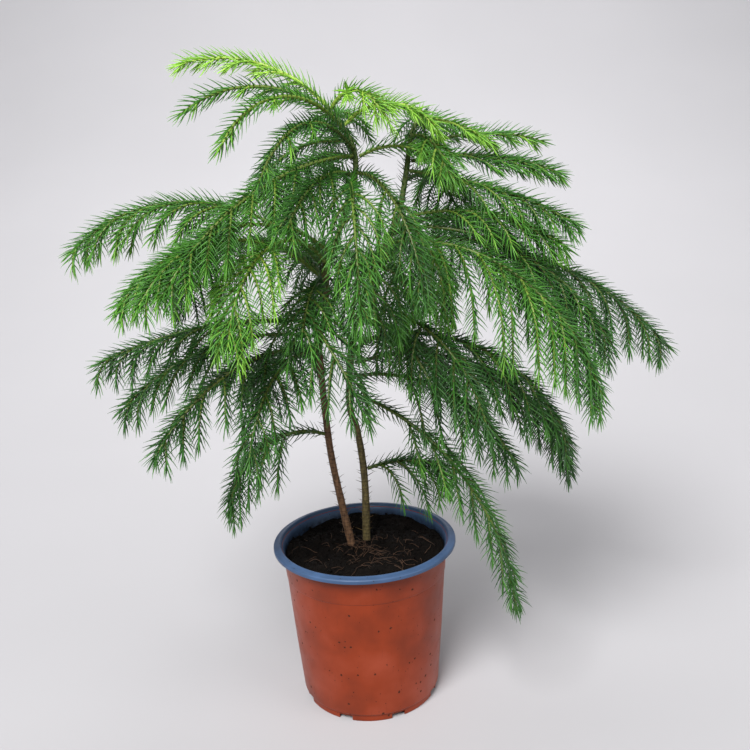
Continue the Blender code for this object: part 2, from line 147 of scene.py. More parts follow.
# Branches. Lengths are in millimetres and angles in degrees. height is above the collar. The
# axis sets out on its bearing, rise above level, turns down by fall and sideways by swing
# on its way. Its side shoots come in pairs past bare (a percentage of its length), spread
# from it, and turn down by hang. shoot is the length of the longest.
Branch = namedtuple("Branch", "stem height bearing rise length fall swing pairs shoot hang spread bare")
BRANCHES = {
    "left_top_west": Branch("left", 285, 172, 48, 96, 62, 0, 4, 20, 45, 40, 12),
    "left_top_east": Branch("left", 282, -45, 47, 50, 118, 0, 3, 24, 40, 50, 30),
    "left_top_south": Branch("left", 268, 234, 40, 114, 92, 0, 2, 13, 40, 45, 30),
    "left_top_north": Branch("left", 275, 95, 28, 75, 75, 0, 4, 40, 40, 50, 22),
    "left_crown_west": Branch("left", 264, 172, 10, 86, 88, 0, 3, 22, 45, 45, 25),
    "left_crown_southwest": Branch("left", 256, 224, -2, 155, 48, 0, 7, 46, 55, 50, 20),
    "left_crown_east": Branch("left", 246, -66, 0, 118, 82, 0, 5, 34, 60, 45, 32),
    "left_crown_northwest": Branch("left", 254, 130, 18, 100, 85, 0, 6, 50, 50, 50, 22),
    "left_middle_west": Branch("left", 189, 182, 54, 170, 97, 0, 7, 56, 70, 45, 32),
    "left_middle_southwest": Branch("left", 182, 211, 48, 142, 102, 0, 7, 46, 55, 50, 38),
    "left_middle_south": Branch("left", 166, 250, 20, 120, 90, 80, 5, 46, 50, 50, 22),
    "left_middle_front": Branch("left", 192, 244, 42, 132, 118, 0, 6, 50, 50, 50, 40),
    "left_middle_northwest": Branch("left", 185, 140, 38, 165, 105, 0, 7, 60, 50, 50, 35),
    "left_middle_north": Branch("left", 189, 95, 25, 150, 85, 0, 6, 58, 50, 50, 22),
    "left_low_west": Branch("left", 157, 182, 9, 142, 34, 0, 7, 50, 70, 50, 22),
    "left_low_southwest": Branch("left", 148, 198, 15, 130, 60, 0, 7, 44, 62, 55, 22),
    "left_low_south": Branch("left", 140, 230, 16, 136, 62, 0, 6, 42, 60, 50, 22),
    "left_low_north": Branch("left", 132, 115, 15, 140, 85, 0, 6, 55, 60, 55, 22),
    "left_lowest": Branch("left", 84, 216, 28, 88, 104, 0, 5, 42, 70, 50, 22),
    "right_top_east": Branch("right", 276, -4, -4, 48, 34, 0, 3, 18, 30, 45, 30),
    "right_top_north": Branch("right", 273, 80, 25, 70, 75, 0, 4, 38, 40, 50, 22),
    "right_top_south": Branch("right", 266, 300, 4, 46, 80, 0, 3, 24, 40, 50, 30),
    "right_crown_east": Branch("right", 251, 8, 10, 98, 34, 0, 6, 32, 36, 45, 25),
    "right_crown_southeast": Branch("right", 246, -18, -8, 106, 22, 0, 6, 38, 50, 45, 25),
    "right_crown_north": Branch("right", 240, 60, 15, 105, 80, 0, 6, 50, 50, 50, 22),
    "right_middle_southeast": Branch("right", 217, -18, 14, 104, 50, 0, 6, 40, 60, 45, 25),
    "right_middle_front": Branch("right", 203, -33, 8, 170, 80, 0, 9, 74, 95, 50, 15),
    "right_middle_south": Branch("right", 194, 262, 22, 90, 85, 10, 5, 54, 70, 55, 22),
    "right_middle_east": Branch("right", 205, 1, 3, 198, 54, 0, 8, 64, 80, 50, 24),
    "right_middle_northeast": Branch("right", 206, 42, 22, 165, 85, 0, 7, 60, 55, 55, 22),
    "right_middle_north": Branch("right", 188, 70, 22, 150, 85, 0, 6, 58, 55, 55, 22),
    "right_low_east": Branch("right", 142, -11, 18, 166, 92, 0, 7, 58, 65, 55, 28),
    "right_low_southeast": Branch("right", 120, -27, 14, 126, 76, 0, 6, 50, 70, 55, 28),
    "right_low_south": Branch("right", 156, 302, 10, 84, 62, 0, 4, 34, 60, 50, 28),
    "right_low_northeast": Branch("right", 137, 50, 15, 130, 90, 0, 6, 55, 60, 55, 22),
    "right_long": Branch("right", 110, -35, -9, 178, 76, 0, 7, 36, 45, 45, 22),
    "right_lowest": Branch("right", 57, -8, 22, 52, 40, 0, 4, 50, 90, 50, 12),
    "left_top_southwest": Branch("left", 275, 212, 38, 99, 74, 0, 2, 13, 40, 45, 30),
    "left_top_front": Branch("left", 259, 248, 30, 126, 78, 0, 3, 16, 40, 45, 30),
    "left_top_southeast": Branch("left", 272, -14, 46, 66, 108, 0, 3, 16, 40, 45, 30),
    "left_crown_front": Branch("left", 234, -88, 22, 142, 104, 0, 6, 38, 60, 45, 32),
    "left_crown_south": Branch("left", 244, 248, 12, 98, 56, 0, 5, 36, 50, 45, 25),
    "left_middle_outer": Branch("left", 199, 226, 38, 148, 90, 0, 6, 46, 50, 50, 42),
    "left_middle_inner": Branch("left", 178, 263, 20, 82, 66, 0, 4, 34, 50, 50, 30),
    "left_low_front": Branch("left", 134, 250, 28, 116, 96, 0, 5, 42, 60, 50, 30),
    "right_crown_northeast": Branch("right", 258, 20, 18, 92, 34, 0, 3, 20, 40, 45, 28),
    "right_middle_inner": Branch("right", 213, -62, 8, 88, 112, 0, 4, 34, 60, 45, 35),
    "right_middle_outer": Branch("right", 212, -17, 4, 158, 68, 0, 8, 62, 95, 50, 28),
    "right_low_outer": Branch("right", 128, -3, 18, 176, 94, 0, 7, 56, 72, 50, 34),
    "right_low_front": Branch("right", 162, -48, 12, 128, 86, 0, 6, 52, 75, 50, 26),
    "left_crown_northeast": Branch("left", 254, 6, 28, 64, 84, 0, 4, 28, 45, 45, 30),
    "right_middle_hanging": Branch("right", 197, -80, 8, 70, 98, 0, 4, 36, 60, 45, 35),
}
AXIS_POINTS = 9
SHOOT_POINTS = 5
AXIS_RADII = (1.25 * MM, 0.6 * MM)  # at the stem, at the tip
SHOOT_RADII = (0.75 * MM, 0.45 * MM)
SHOOT_CURL = 14
STEEPEST = -86
CLEARANCE = 0.3 * MM
TWIG_SEAT = 0.1 * MM
CORNER = 0.65
STRAIGHT_ON = 0.9
TIP_GAP = 0.8 * MM
TWIG_ROOM = 1.0 * MM
HEEL_BEADS = 6
TURNS = (0, 7, -7, 14, -14, 22, -22, 30, -30, 40, -40, 52, -52)

# Stage
BACKDROP_NEAR, BACKDROP_FAR, BACKDROP_BEND = -2.5, 2.7, 2.3
BACKDROP_HEIGHT, BACKDROP_HALF_WIDTH = 3.2, 3.5
CROWN_MIDDLE = (0, 0, 0.24)
CAMERA_PLACE = (0.012, -0.5021, 0.3403)  # from the pot's axis
CAMERA_PITCH, CAMERA_ROLL = 13.76, -2.70  # down, and anticlockwise, in degrees

# How much fresher than its height gives each branch's growth is: 1 is new and bright.
FRESHER = {
    "left_top_west": 0.3,
    "left_top_southeast": 0.24,
    "left_top_east": 0.24,
    "left_top_south": 0.06,
    "left_top_southwest": 0.08,
    "left_crown_northeast": 0.12,
    "left_crown_southwest": 0.06,
    "left_crown_front": 0.06,
    "left_middle_west": 0.1,
    "left_middle_southwest": 0.12,
    "left_middle_front": 0.18,
    "left_middle_outer": 0.1,
    "right_top_east": 0.16,
    "right_top_south": 0.06,
    "right_crown_northeast": 0.12,
    "right_crown_east": 0.04,
    "right_middle_southeast": 0.08,
    "right_middle_front": 0.12,
    "right_middle_inner": 0.1,
    "right_middle_hanging": 0.08,
    "right_long": 0.12,
    "left_lowest": 0.06,
    "right_lowest": 0.12,
}

# Colours by how fresh the growth is: dry, old, full-grown and new.
NEEDLE_COLOURS = {
    0.03: "#3E2A1A",
    0.1: "#6A5030",
    0.17: "#17350F",
    0.36: "#29591C",
    0.56: "#4B8729",
    0.76: "#7FB538",
    0.98: "#A9DC52",
}
TWIG_COLOURS = {0.15: "#45401E", 0.4: "#56692A", 0.7: "#93AC42", 0.98: "#BAD65E"}


# ------------------------------------------------------------------ settings


def linear(hex_colour):
    """An sRGB hex colour as linear red, green and blue."""
    channels = [int(hex_colour[i : i + 2], 16) / 255 for i in (1, 3, 5)]
    return tuple(c / 12.92 if c <= 0.04045 else ((c + 0.055) / 1.055) ** 2.4 for c in channels)


def colour_setting(name, description, hex_colour):
    return bpy.props.FloatVectorProperty(
        name=name,
        description=description,
        default=linear(hex_colour),
        size=3,
        min=0,
        max=1,
        subtype="COLOR",
    )


def length_setting(name, description, millimetres):
    return bpy.props.FloatProperty(
        name=name,
        description=description,
        default=millimetres * MM,
        min=0,
        unit="LENGTH",
        subtype="DISTANCE",
        precision=5,
    )


def angle_setting(name, description, degrees):
    return bpy.props.FloatProperty(
        name=name,
        description=description,
        default=math.radians(degrees),
        subtype="ANGLE",
        unit="ROTATION",
    )


class PotSettings(bpy.types.PropertyGroup):
    outside: colour_setting("Outside", "Colour of the pot's outer layer", "#85300F")
    inside: colour_setting("Inside", "Colour of the inner layer and the rim", "#40587A")
    edge_round: length_setting("Rim rounding", "Radius of the rim's outer edge", 1.1)


class SoilSettings(bpy.types.PropertyGroup):
    peat: colour_setting("Peat", "Colour of the damp peat", "#0C0806")
    fibre: colour_setting("Fibre", "Colour of the coir fibres", "#4B3220")
    crumb: length_setting("Crumb size", "Middle size of a crumb", 2.0)
    roughness: length_setting("Unevenness", "How far the surface rises and falls", 2.6)


class StemSettings(bpy.types.PropertyGroup):
    brown: colour_setting("Older bark", "Colour of the left stem", "#6B4D35")
    olive: colour_setting("Younger bark", "Colour of the right stem", "#5F5330")
    green: colour_setting("Green bark", "Colour near the stems' tips", "#4F5F2A")
    stub_length: length_setting("Dry needles", "Length of the dry needles", 6.4)
    stub_spacing: length_setting("Dry needle spacing", "Distance between two dry needles", 1.0)
    leaf_spacing: length_setting("Leader needle spacing", "Distance between the leader's needles", 0.62)


class FoliageSettings(bpy.types.PropertyGroup):
    length: length_setting("Needle length", "Length of a full-grown needle", 11.2)
    width: length_setting("Needle width", "Width of a needle at its widest", 0.98)
    thickness: length_setting("Needle thickness", "Thickness of a needle", 0.7)
    spacing: length_setting("Needle spacing", "Distance along the twig between needles", 0.74)
    turn: angle_setting("Turn", "Turn from each needle to the next, two fifths round", 143.2)
    lean: angle_setting("Lean", "Angle from the twig to a needle", 50)
    tip_lean: angle_setting("Tip lean", "The same at a shoot's tip, where needles close", 20)
    incurve: bpy.props.FloatProperty(
        name="Incurve",
        description="How far a needle's tip bends forward, as a share of its length",
        default=0.17,
        min=0,
        max=1,
    )
    seed: bpy.props.IntProperty(name="Seed", description="Seed of every random choice", default=7)


class StageSettings(bpy.types.PropertyGroup):
    floor: colour_setting("Floor", "Colour of the floor and backdrop", "#E6E4E7")
    key_power: bpy.props.FloatProperty(
        name="Key light", description="Power of the main light", default=58, unit="POWER"
    )
    fill_power: bpy.props.FloatProperty(
        name="Fill light", description="Power of the light from the right", default=10, unit="POWER"
    )
    backdrop_power: bpy.props.FloatProperty(
        name="Backdrop light", description="Power of the light on the backdrop", default=14, unit="POWER"
    )
    sky: bpy.props.FloatProperty(
        name="Room light", description="Strength of the light from all round", default=0.2
    )
    focal_length: bpy.props.FloatProperty(
        name="Focal length", description="On a sensor 36 mm wide", default=39.36, unit="CAMERA"
    )


# ------------------------------------------------------------------ helpers


def feed(tree, socket, value):
    """Gives an input socket a plain value or another node's output."""
    if isinstance(value, bpy.types.NodeSocket):
        tree.links.new(value, socket)
    else:
        socket.default_value = value


def add(tree, kind, inputs=None, **settings):
    """Adds a node. inputs gives its sockets, by name or number, a value or another's output."""
    node = tree.nodes.new(kind)
    for name, value in settings.items():
        setattr(node, name, value)
    for key, value in (inputs or {}).items():
        feed(tree, node.inputs[key], value)
    return node


def math_node(tree, operation, *values):
    """A Math node's output, from numbers or other outputs."""
    return add(tree, "ShaderNodeMath", dict(enumerate(values)), operation=operation).outputs[0]


def remap(tree, value, given, wanted=(0.0, 1.0)):
    """The value moved from the range given to the one wanted, and held inside it."""
    ends = {"From Min": given[0], "From Max": given[1], "To Min": wanted[0], "To Max": wanted[1]}
    return add(tree, "ShaderNodeMapRange", {"Value": value, **ends}).outputs[0]


def new_material(name):
    """A material's tree and its Principled shader."""
    material = bpy.data.materials.new(name)
    material.use_nodes = True
    tree = material.node_tree
    return material, tree, tree.nodes["Principled BSDF"]


def ramp(tree, factor, stops, interpolation="LINEAR"):
    """A Color Ramp's output, from (place, linear colour) stops."""
    node = add(tree, "ShaderNodeValToRGB", {"Fac": factor})
    node.color_ramp.interpolation = interpolation
    elements = node.color_ramp.elements
    while len(elements) < len(stops):
        elements.new(0.5)
    for element, (place, colour) in zip(elements, stops):
        element.position = place
        element.color = (*colour, 1)
    return node.outputs["Color"]


def hex_ramp(tree, factor, colours):
    """A Color Ramp's output, from the places and hex colours of a dictionary."""
    return ramp(tree, factor, [(place, linear(colour)) for place, colour in colours.items()])


def grey(value):
    return (value, value, value)


def scaled(colour, factor):
    return tuple(factor * channel for channel in colour)


def mixed(tree, factor, first, second, blend="MIX"):
    """The two colours mixed."""
    node = add(tree, "ShaderNodeMix", {0: factor}, data_type="RGBA", blend_type=blend)
    for key, colour in ((6, first), (7, second)):
        plain = not isinstance(colour, bpy.types.NodeSocket)
        feed(tree, node.inputs[key], (*colour, 1) if plain else colour)
    return node.outputs[2]


def object_coordinates(tree, scale=(1, 1, 1)):
    """Object coordinates measured from the pot's axis, stretched by scale."""
    place = add(tree, "ShaderNodeTexCoord").outputs["Object"]
    moved = {"Vector": place, "Location": [-POT_AXIS[i] * scale[i] for i in range(3)], "Scale": scale}
    return add(tree, "ShaderNodeMapping", moved, vector_type="POINT").outputs[0]


def noise(tree, vector, size, detail=3.0, roughness=0.5):
    """Noise with features about size metres across."""
    inputs = {"Vector": vector, "Scale": 1 / size, "Detail": detail, "Roughness": roughness}
    return add(tree, "ShaderNodeTexNoise", inputs).outputs[0]


def bump(tree, shader, height, distance, strength=1.0):
    """Gives the shader a bump that stands distance metres high."""
    inputs = {"Height": height, "Distance": distance, "Strength": strength}
    tree.links.new(add(tree, "ShaderNodeBump", inputs).outputs[0], shader.inputs["Normal"])


def piece_of(name, mesh, materials, nodes=()):
    """Links a finished mesh as a piece of the object that stands for those CAD nodes."""
    piece = bpy.data.objects.new(name, mesh)
    bpy.context.scene.collection.objects.link(piece)
    mesh.materials.clear()
    for material in materials:
        mesh.materials.append(material)
    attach(piece, "root")
    if nodes:
        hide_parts(*nodes)
    return piece


def smooth_shading(mesh, angle=35):
    """Smooth faces, with edges sharper than the angle left sharp."""
    mesh.shade_smooth()
    mesh.set_sharp_from_angle(angle=math.radians(angle))


def made_mesh(name, vertices, faces):
    mesh = bpy.data.meshes.new(name)
    mesh.from_pydata([tuple(v) for v in vertices], [], faces)
    mesh.validate()
    return mesh


def turned(name, profile, steps):
    """A closed turned shell from (radius, height) points, the first and last on the axis."""
    rings, vertices, faces = [], [], []
    for radius, height in profile:
        count = steps if radius > 1e-7 else 1
        rings.append(range(len(vertices), len(vertices) + count))
        for i in range(count):
            turn = 2 * math.pi * i / steps
            vertices.append((radius * math.cos(turn), radius * math.sin(turn), height))
    for low, high in zip(rings, rings[1:]):
        for i in range(steps):
            a, b = low[i % len(low)], low[(i + 1) % len(low)]
            c, d = high[(i + 1) % len(high)], high[i % len(high)]
            faces.append([a, d, c] if len(low) == 1 else [a, d, b] if len(high) == 1 else [a, d, c, b])
    return made_mesh(name, vertices, faces)


def tubes(name, lines, sides):
    """Closed round tubes from (points, radii)."""
    vertices, faces = [], []
    for points, radii in lines:
        points = np.asarray(points, float)
        runs = np.gradient(points, axis=0)
        runs /= np.linalg.norm(runs, axis=1)[:, None]
        across = np.cross(runs[0], (0.0, 0.0, 1.0) if abs(runs[0][2]) < 0.9 else (1.0, 0.0, 0.0))
        first = len(vertices)
        for point, run, radius in zip(points, runs, radii):
            across = across - run * (across @ run)
            across /= np.linalg.norm(across)
            other = np.cross(run, across)
            for i in range(sides):
                turn = 2 * math.pi * i / sides
                vertices.append(point + radius * (across * math.cos(turn) + other * math.sin(turn)))
        for k in range(len(points) - 1):
            start = first + k * sides
            for i in range(sides):
                j = (i + 1) % sides
                faces.append([start + i, start + j, start + sides + j, start + sides + i])
        last = first + (len(points) - 1) * sides
        faces.append([first + i for i in reversed(range(sides))])
        faces.append([last + i for i in range(sides)])
    return made_mesh(name, vertices, faces)


def evaluated_mesh(obj):
    """The plain mesh that an object's modifiers make."""
    graph = bpy.context.evaluated_depsgraph_get()
    return bpy.data.meshes.new_from_object(obj.evaluated_get(graph))


def grown(group, mesh, **inputs):
    """The plain mesh that a Geometry Nodes tree makes of a mesh with these inputs."""
    obj = bpy.data.objects.new("growing", mesh)
    bpy.context.scene.collection.objects.link(obj)
    modifier = obj.modifiers.new("grow", "NODES")
    modifier.node_group = group
    for item in group.interface.items_tree:
        key = item.name.lower().replace(" ", "_")
        if item.item_type == "SOCKET" and item.in_out == "INPUT" and key in inputs:
            modifier[item.identifier] = inputs[key]
    result = evaluated_mesh(obj)
    bpy.data.objects.remove(obj, do_unlink=True)
    return result


# ------------------------------------------------------------------ the twigs' plan, as in the CAD part


def smooth(points, radii, added):
    """A smooth curve through all the points, with more between each two."""
    ends = np.vstack([2 * points[0] - points[1], points, 2 * points[-1] - points[-2]])
    line, widths = [points[0]], [radii[0]]
    for i in range(1, len(points)):
        a, b, c, d = ends[i - 1 : i + 3]
        for k in range(1, added + 2):
            t = k / (added + 1)
            curve = 2 * b + (c - a) * t + (2 * a - 5 * b + 4 * c - d) * t**2
            line.append((curve + (3 * b - a - 3 * c + d) * t**3) / 2)
            widths.append(radii[i - 1] + (radii[i] - radii[i - 1]) * t)
    return np.array(line), np.array(widths)


def stem_line(name, added=STEM_SMOOTHING):
    """Points and radii of a stem from its buried foot to its tip, from the pot's axis."""
    knots = np.array(STEMS[name], float) * MM
    line = knots[:, [1, 2, 0]] + (0, 0, COLLAR_LEVEL)
    foot = line[0] - (0, 0, ROOT_DEPTH)
    return smooth(np.vstack([foot, line]), np.append(knots[0, 3], knots[:, 3]), added)


def stem_at(name, height):
    """The stem's middle, direction and radius at a height above the collar."""
    line, radii = stem_line(name)
    level = COLLAR_LEVEL + height
    i = min(int(np.searchsorted(line[:, 2], level)), len(line) - 1)
    run = line[i] - line[i - 1]
    t = (level - line[i - 1][2]) / run[2]
    radius = radii[i - 1] + (radii[i] - radii[i - 1]) * t
    return line[i - 1] + run * t, run / np.linalg.norm(run), radius


def heading(bearing, lift):
    """The unit vector on a bearing, lifted above level, both in degrees."""
    turn, up = math.radians(bearing), math.radians(lift)
    return np.array([math.cos(turn) * math.cos(up), math.sin(turn) * math.cos(up), math.sin(up)])


def grow(start, bearing, lift, length, fall, swing, count):
    """Points of a shoot that turns down and sideways as it goes."""
    path = [np.array(start, float)]
    for i in range(count - 1):
        t = (i + 0.5) / (count - 1)
        step = heading(bearing + swing * t, max(lift - fall * t, STEEPEST))
        path.append(path[-1] + step * length / (count - 1))
    return np.array(path)


def along(points, fraction):
    """The point at a fraction of the way along evenly spaced points."""
    place = fraction * (len(points) - 1)
    i = min(int(place), len(points) - 2)
    return points[i] + (points[i + 1] - points[i]) * (place - i)


def beads(points, radii, spacing=1.5 * MM):
    """Points closely spaced along a tube, as rows of x, y, z and radius."""
    rows = []
    for i in range(len(points) - 1):
        count = max(1, int(np.linalg.norm(points[i + 1] - points[i]) / spacing))
        for k in range(count):
            t = k / count
            radius = radii[i] + (radii[i + 1] - radii[i]) * t
            rows.append([*(points[i] + (points[i + 1] - points[i]) * t), radius])
    rows.append([*points[-1], radii[-1]])
    return np.array(rows)


def room(own, others):
    """The least air between a tube's beads and all the others."""
    reach = 8 * MM
    if not len(own):
        return reach
    low, high = own[:, :3].min(0) - reach, own[:, :3].max(0) + reach
    near = others[((others[:, :3] > low) & (others[:, :3] < high)).all(1)]
    if not len(near):
        return reach
    apart = np.linalg.norm(own[:, None, :3] - near[None, :, :3], axis=2)
    return (apart - own[:, None, 3] - near[None, :, 3]).min()


def axis_of(branch):
    """A branch's axis, from the side of its stem or, where it runs straight on, from the tip."""
    middle, along_stem, radius = stem_at(branch.stem, branch.height * MM)
    out = heading(branch.bearing, branch.rise)
    slant = abs(out @ along_stem)
    if slant > STRAIGHT_ON:
        start = stem_line(branch.stem)[0][-1] + out * TIP_GAP
    else:
        clear = radius + CLEARANCE + TWIG_SEAT + CORNER * AXIS_RADII[0] * slant
        start = middle + out * clear / math.sqrt(1 - slant**2)
    length = branch.length * MM
    line = grow(start, branch.bearing, branch.rise, length, branch.fall, branch.swing, AXIS_POINTS)
    return line, np.linspace(*AXIS_RADII, AXIS_POINTS)


def side_shoots(branch, axis, radii, others, seed):
    """Two ranks of side shoots. Each turns a little where it would touch another twig."""
    chance = random.Random(seed)
    count = 2 * branch.pairs
    bare = branch.bare / 100
    shoots = []
    for i in range(count):
        s = bare + (0.95 - bare) * (i + 0.5) / count
        side = 1 if i % 2 else -1
        bearing = branch.bearing + branch.swing * s
        ahead = heading(bearing, max(branch.rise - branch.fall * s, STEEPEST))
        spread = math.radians(branch.spread * (1.1 - 0.35 * s) + chance.uniform(-6, 6))
        out = ahead * math.cos(spread) + heading(bearing + 90 * side, 0) * math.sin(spread)
        bearing = math.degrees(math.atan2(out[1], out[0]))
        lift = math.degrees(math.asin(out[2]))
        size = branch.shoot * MM * min(1, 0.5 + 1.6 * s) * (1 - 0.7 * s * s)
        size *= chance.uniform(0.88, 1.12)
        hang = branch.hang * chance.uniform(0.8, 1.15)
        thick = min(SHOOT_RADII[0], 0.85 * along(radii, s))
        widths = np.linspace(thick, SHOOT_RADII[1], SHOOT_POINTS)
        tries = []
        for turn in TURNS:
            course = bearing + turn * side
            path = grow(along(axis, s), course, lift, size, hang, -SHOOT_CURL * side, SHOOT_POINTS)
            rows = beads(path, widths)
            free = min(room(rows, others), room(rows[HEEL_BEADS:], beads(axis, radii)))
            tries.append((free, path, rows))
            if tries[-1][0] > TWIG_ROOM:
                break
        _, path, rows = max(tries, key=lambda found: found[0])
        others = np.vstack([others, rows])
        shoots.append((path, widths))
    return shoots


def plan_branches():
    """Each branch's axis and side shoots as (points, radii), clear of all the others."""
    axes = {name: axis_of(branch) for name, branch in BRANCHES.items()}
    taken = {f"stem_{name}": beads(*stem_line(name)) for name in STEMS}
    taken.update({name: beads(*axis) for name, axis in axes.items()})
    plan = {}
    for seed, (name, branch) in enumerate(BRANCHES.items(), 1):
        others = np.vstack([rows for other, rows in taken.items() if other != name])
        shoots = side_shoots(branch, *axes[name], others, seed)
        taken[name] = np.vstack([taken[name], *(beads(*shoot) for shoot in shoots)])
        plan[name] = (axes[name], shoots)
    return plan


# ------------------------------------------------------------------ pot


def wall_radius(height):
    """Outer radius of the pot's wall at a height, above the moulded line's little step."""
    return BODY_BASE_RADIUS + (BODY_TOP_RADIUS - BODY_BASE_RADIUS) * height / POT_HEIGHT


def arc(centre, radius, first, last, count=6):
    """Points round part of a circle in the profile's plane, angles in degrees from outward."""
    turns = [math.radians(first + (last - first) * i / (count - 1)) for i in range(count)]
    return [(centre[0] + radius * math.cos(t), centre[1] + radius * math.sin(t)) for t in turns]


def pot_profile(edge_round):
    """The wall, rolled rim and foot of the pot, from the middle of its floor and back."""
    top = POT_HEIGHT
    shelf = top - RIM_BEAD
    lip = 0.9 * WALL
    inner = wall_radius(top) - WALL
    floor_top = FOOT_HEIGHT + FLOOR
    bead = 0.95 * MM
    base = BODY_BASE_RADIUS
    foot = base - FOOT_INSET
    under = shelf - lip
    return [
        (0, floor_top),
        (wall_radius(floor_top) - WALL - 2 * MM, floor_top),
        *arc((wall_radius(floor_top) - WALL - 2 * MM, floor_top + 2 * MM), 2 * MM, -80, 0, 4),
        (wall_radius(0.5 * top) - WALL, 0.5 * top),
        (inner, top - 4 * MM),
        (inner + 0.8 * MM, top - 2.6 * MM),
        (inner + 1.7 * MM, top - 1.4 * MM),
        *arc((inner + 1.9 * MM + bead, top - bead), bead, 180, 60, 7),
        (inner + 1.9 * MM + 2 * bead + 0.4 * MM, shelf),
        *arc((RIM_RADIUS - edge_round, shelf - edge_round), edge_round, 90, 0, 7),
        (RIM_RADIUS - 0.1 * MM, top - 0.6 * RIM_DROP),
        *arc((RIM_RADIUS - lip / 2, top - RIM_DROP + lip / 2), lip / 2, 0, -180, 7),
        (RIM_RADIUS - lip, under - 0.5 * MM),
        *arc((RIM_RADIUS - lip - 0.5 * MM, under - 0.5 * MM), 0.5 * MM, 0, 90, 4),
        *arc((wall_radius(under) + 0.6 * MM, under - 0.6 * MM), 0.6 * MM, 90, 180, 4),
        (wall_radius(STEP_LINE + 0.3 * MM), STEP_LINE + 0.3 * MM),
        (wall_radius(STEP_LINE) - 0.05 * MM, STEP_LINE),
        (wall_radius(STEP_LINE) - STEP_DEPTH, STEP_LINE - STEP_DEPTH),
        (wall_radius(0.4 * top) - 0.4 * STEP_DEPTH, 0.4 * top),
        *arc((base - 1.2 * MM, FOOT_HEIGHT + 1.6 * MM), 1.2 * MM, 0, -75, 5),
        (foot, FOOT_HEIGHT),
        (foot - 0.2 * MM, 0.5 * MM),
        *arc((foot - 0.2 * MM - WALL / 2, 0.5 * MM), 0.5 * MM, 0, -180, 5),
        (foot - 0.3 * MM - WALL, FOOT_HEIGHT),
        (0, FOOT_HEIGHT),
    ]


def base_cutter():
    """The gaps in the foot ring and the drainage holes beside it, as one cutter."""
    shape = bmesh.new()
    ring = BODY_BASE_RADIUS - FOOT_INSET
    for i in range(FOOT_GAPS):
        turn = 2 * math.pi * (i + 0.5) / FOOT_GAPS
        gap = bmesh.ops.create_cube(shape, size=1)["verts"]
        size = (8 * MM, FOOT_GAP_WIDTH, 2 * (FOOT_HEIGHT - 1 * MM))
        bmesh.ops.scale(shape, vec=size, verts=gap)
        bmesh.ops.translate(shape, vec=(ring, 0, 0), verts=gap)
        bmesh.ops.rotate(shape, matrix=Matrix.Rotation(turn, 3, "Z"), verts=gap)
    for i in range(DRAIN_HOLES):
        turn = 2 * math.pi * i / DRAIN_HOLES
        hole = bmesh.ops.create_cone(
            shape,
            cap_ends=True,
            segments=32,
            radius1=DRAIN_RADIUS,
            radius2=DRAIN_RADIUS,
            depth=20 * MM,
        )["verts"]
        place = (ring - WALL - 2.2 * DRAIN_RADIUS, 0, FOOT_HEIGHT)
        bmesh.ops.translate(shape, vec=place, verts=hole)
        bmesh.ops.rotate(shape, matrix=Matrix.Rotation(turn, 3, "Z"), verts=hole)
    mesh = bpy.data.meshes.new("base_cutter")
    shape.to_mesh(mesh)
    shape.free()
    return mesh


def cut(mesh, cutter):
    """The mesh with the cutter taken from it."""
    pair = [bpy.data.objects.new(m.name, m) for m in (mesh, cutter)]
    for obj in pair:
        bpy.context.scene.collection.objects.link(obj)
    modifier = pair[0].modifiers.new("cut", "BOOLEAN")
    modifier.operation = "DIFFERENCE"
    modifier.solver = "EXACT"
    modifier.object = pair[1]
    result = evaluated_mesh(pair[0])
    for obj in pair:
        bpy.data.objects.remove(obj, do_unlink=True)
    return result


def soil_marks(tree, place, cell, share):
    """1 on small specks of soil: the share of the cells, each cell metres across, that has one."""
    voronoi = add(tree, "ShaderNodeTexVoronoi", {"Vector": place, "Scale": 1 / cell, "Randomness": 1.0})
    edge = noise(tree, place, cell / 3, 2)
    reach = math_node(tree, "ADD", voronoi.outputs["Distance"], math_node(tree, "MULTIPLY", edge, 0.35))
    chosen = add(tree, "ShaderNodeSeparateColor", {"Color": voronoi.outputs["Color"]}).outputs[0]
    small = math_node(tree, "MULTIPLY", chosen, 0.35)
    inside = math_node(tree, "LESS_THAN", reach, math_node(tree, "ADD", small, 0.05))
    picked = math_node(tree, "GREATER_THAN", chosen, 1 - share)
    return math_node(tree, "MULTIPLY", inside, picked)


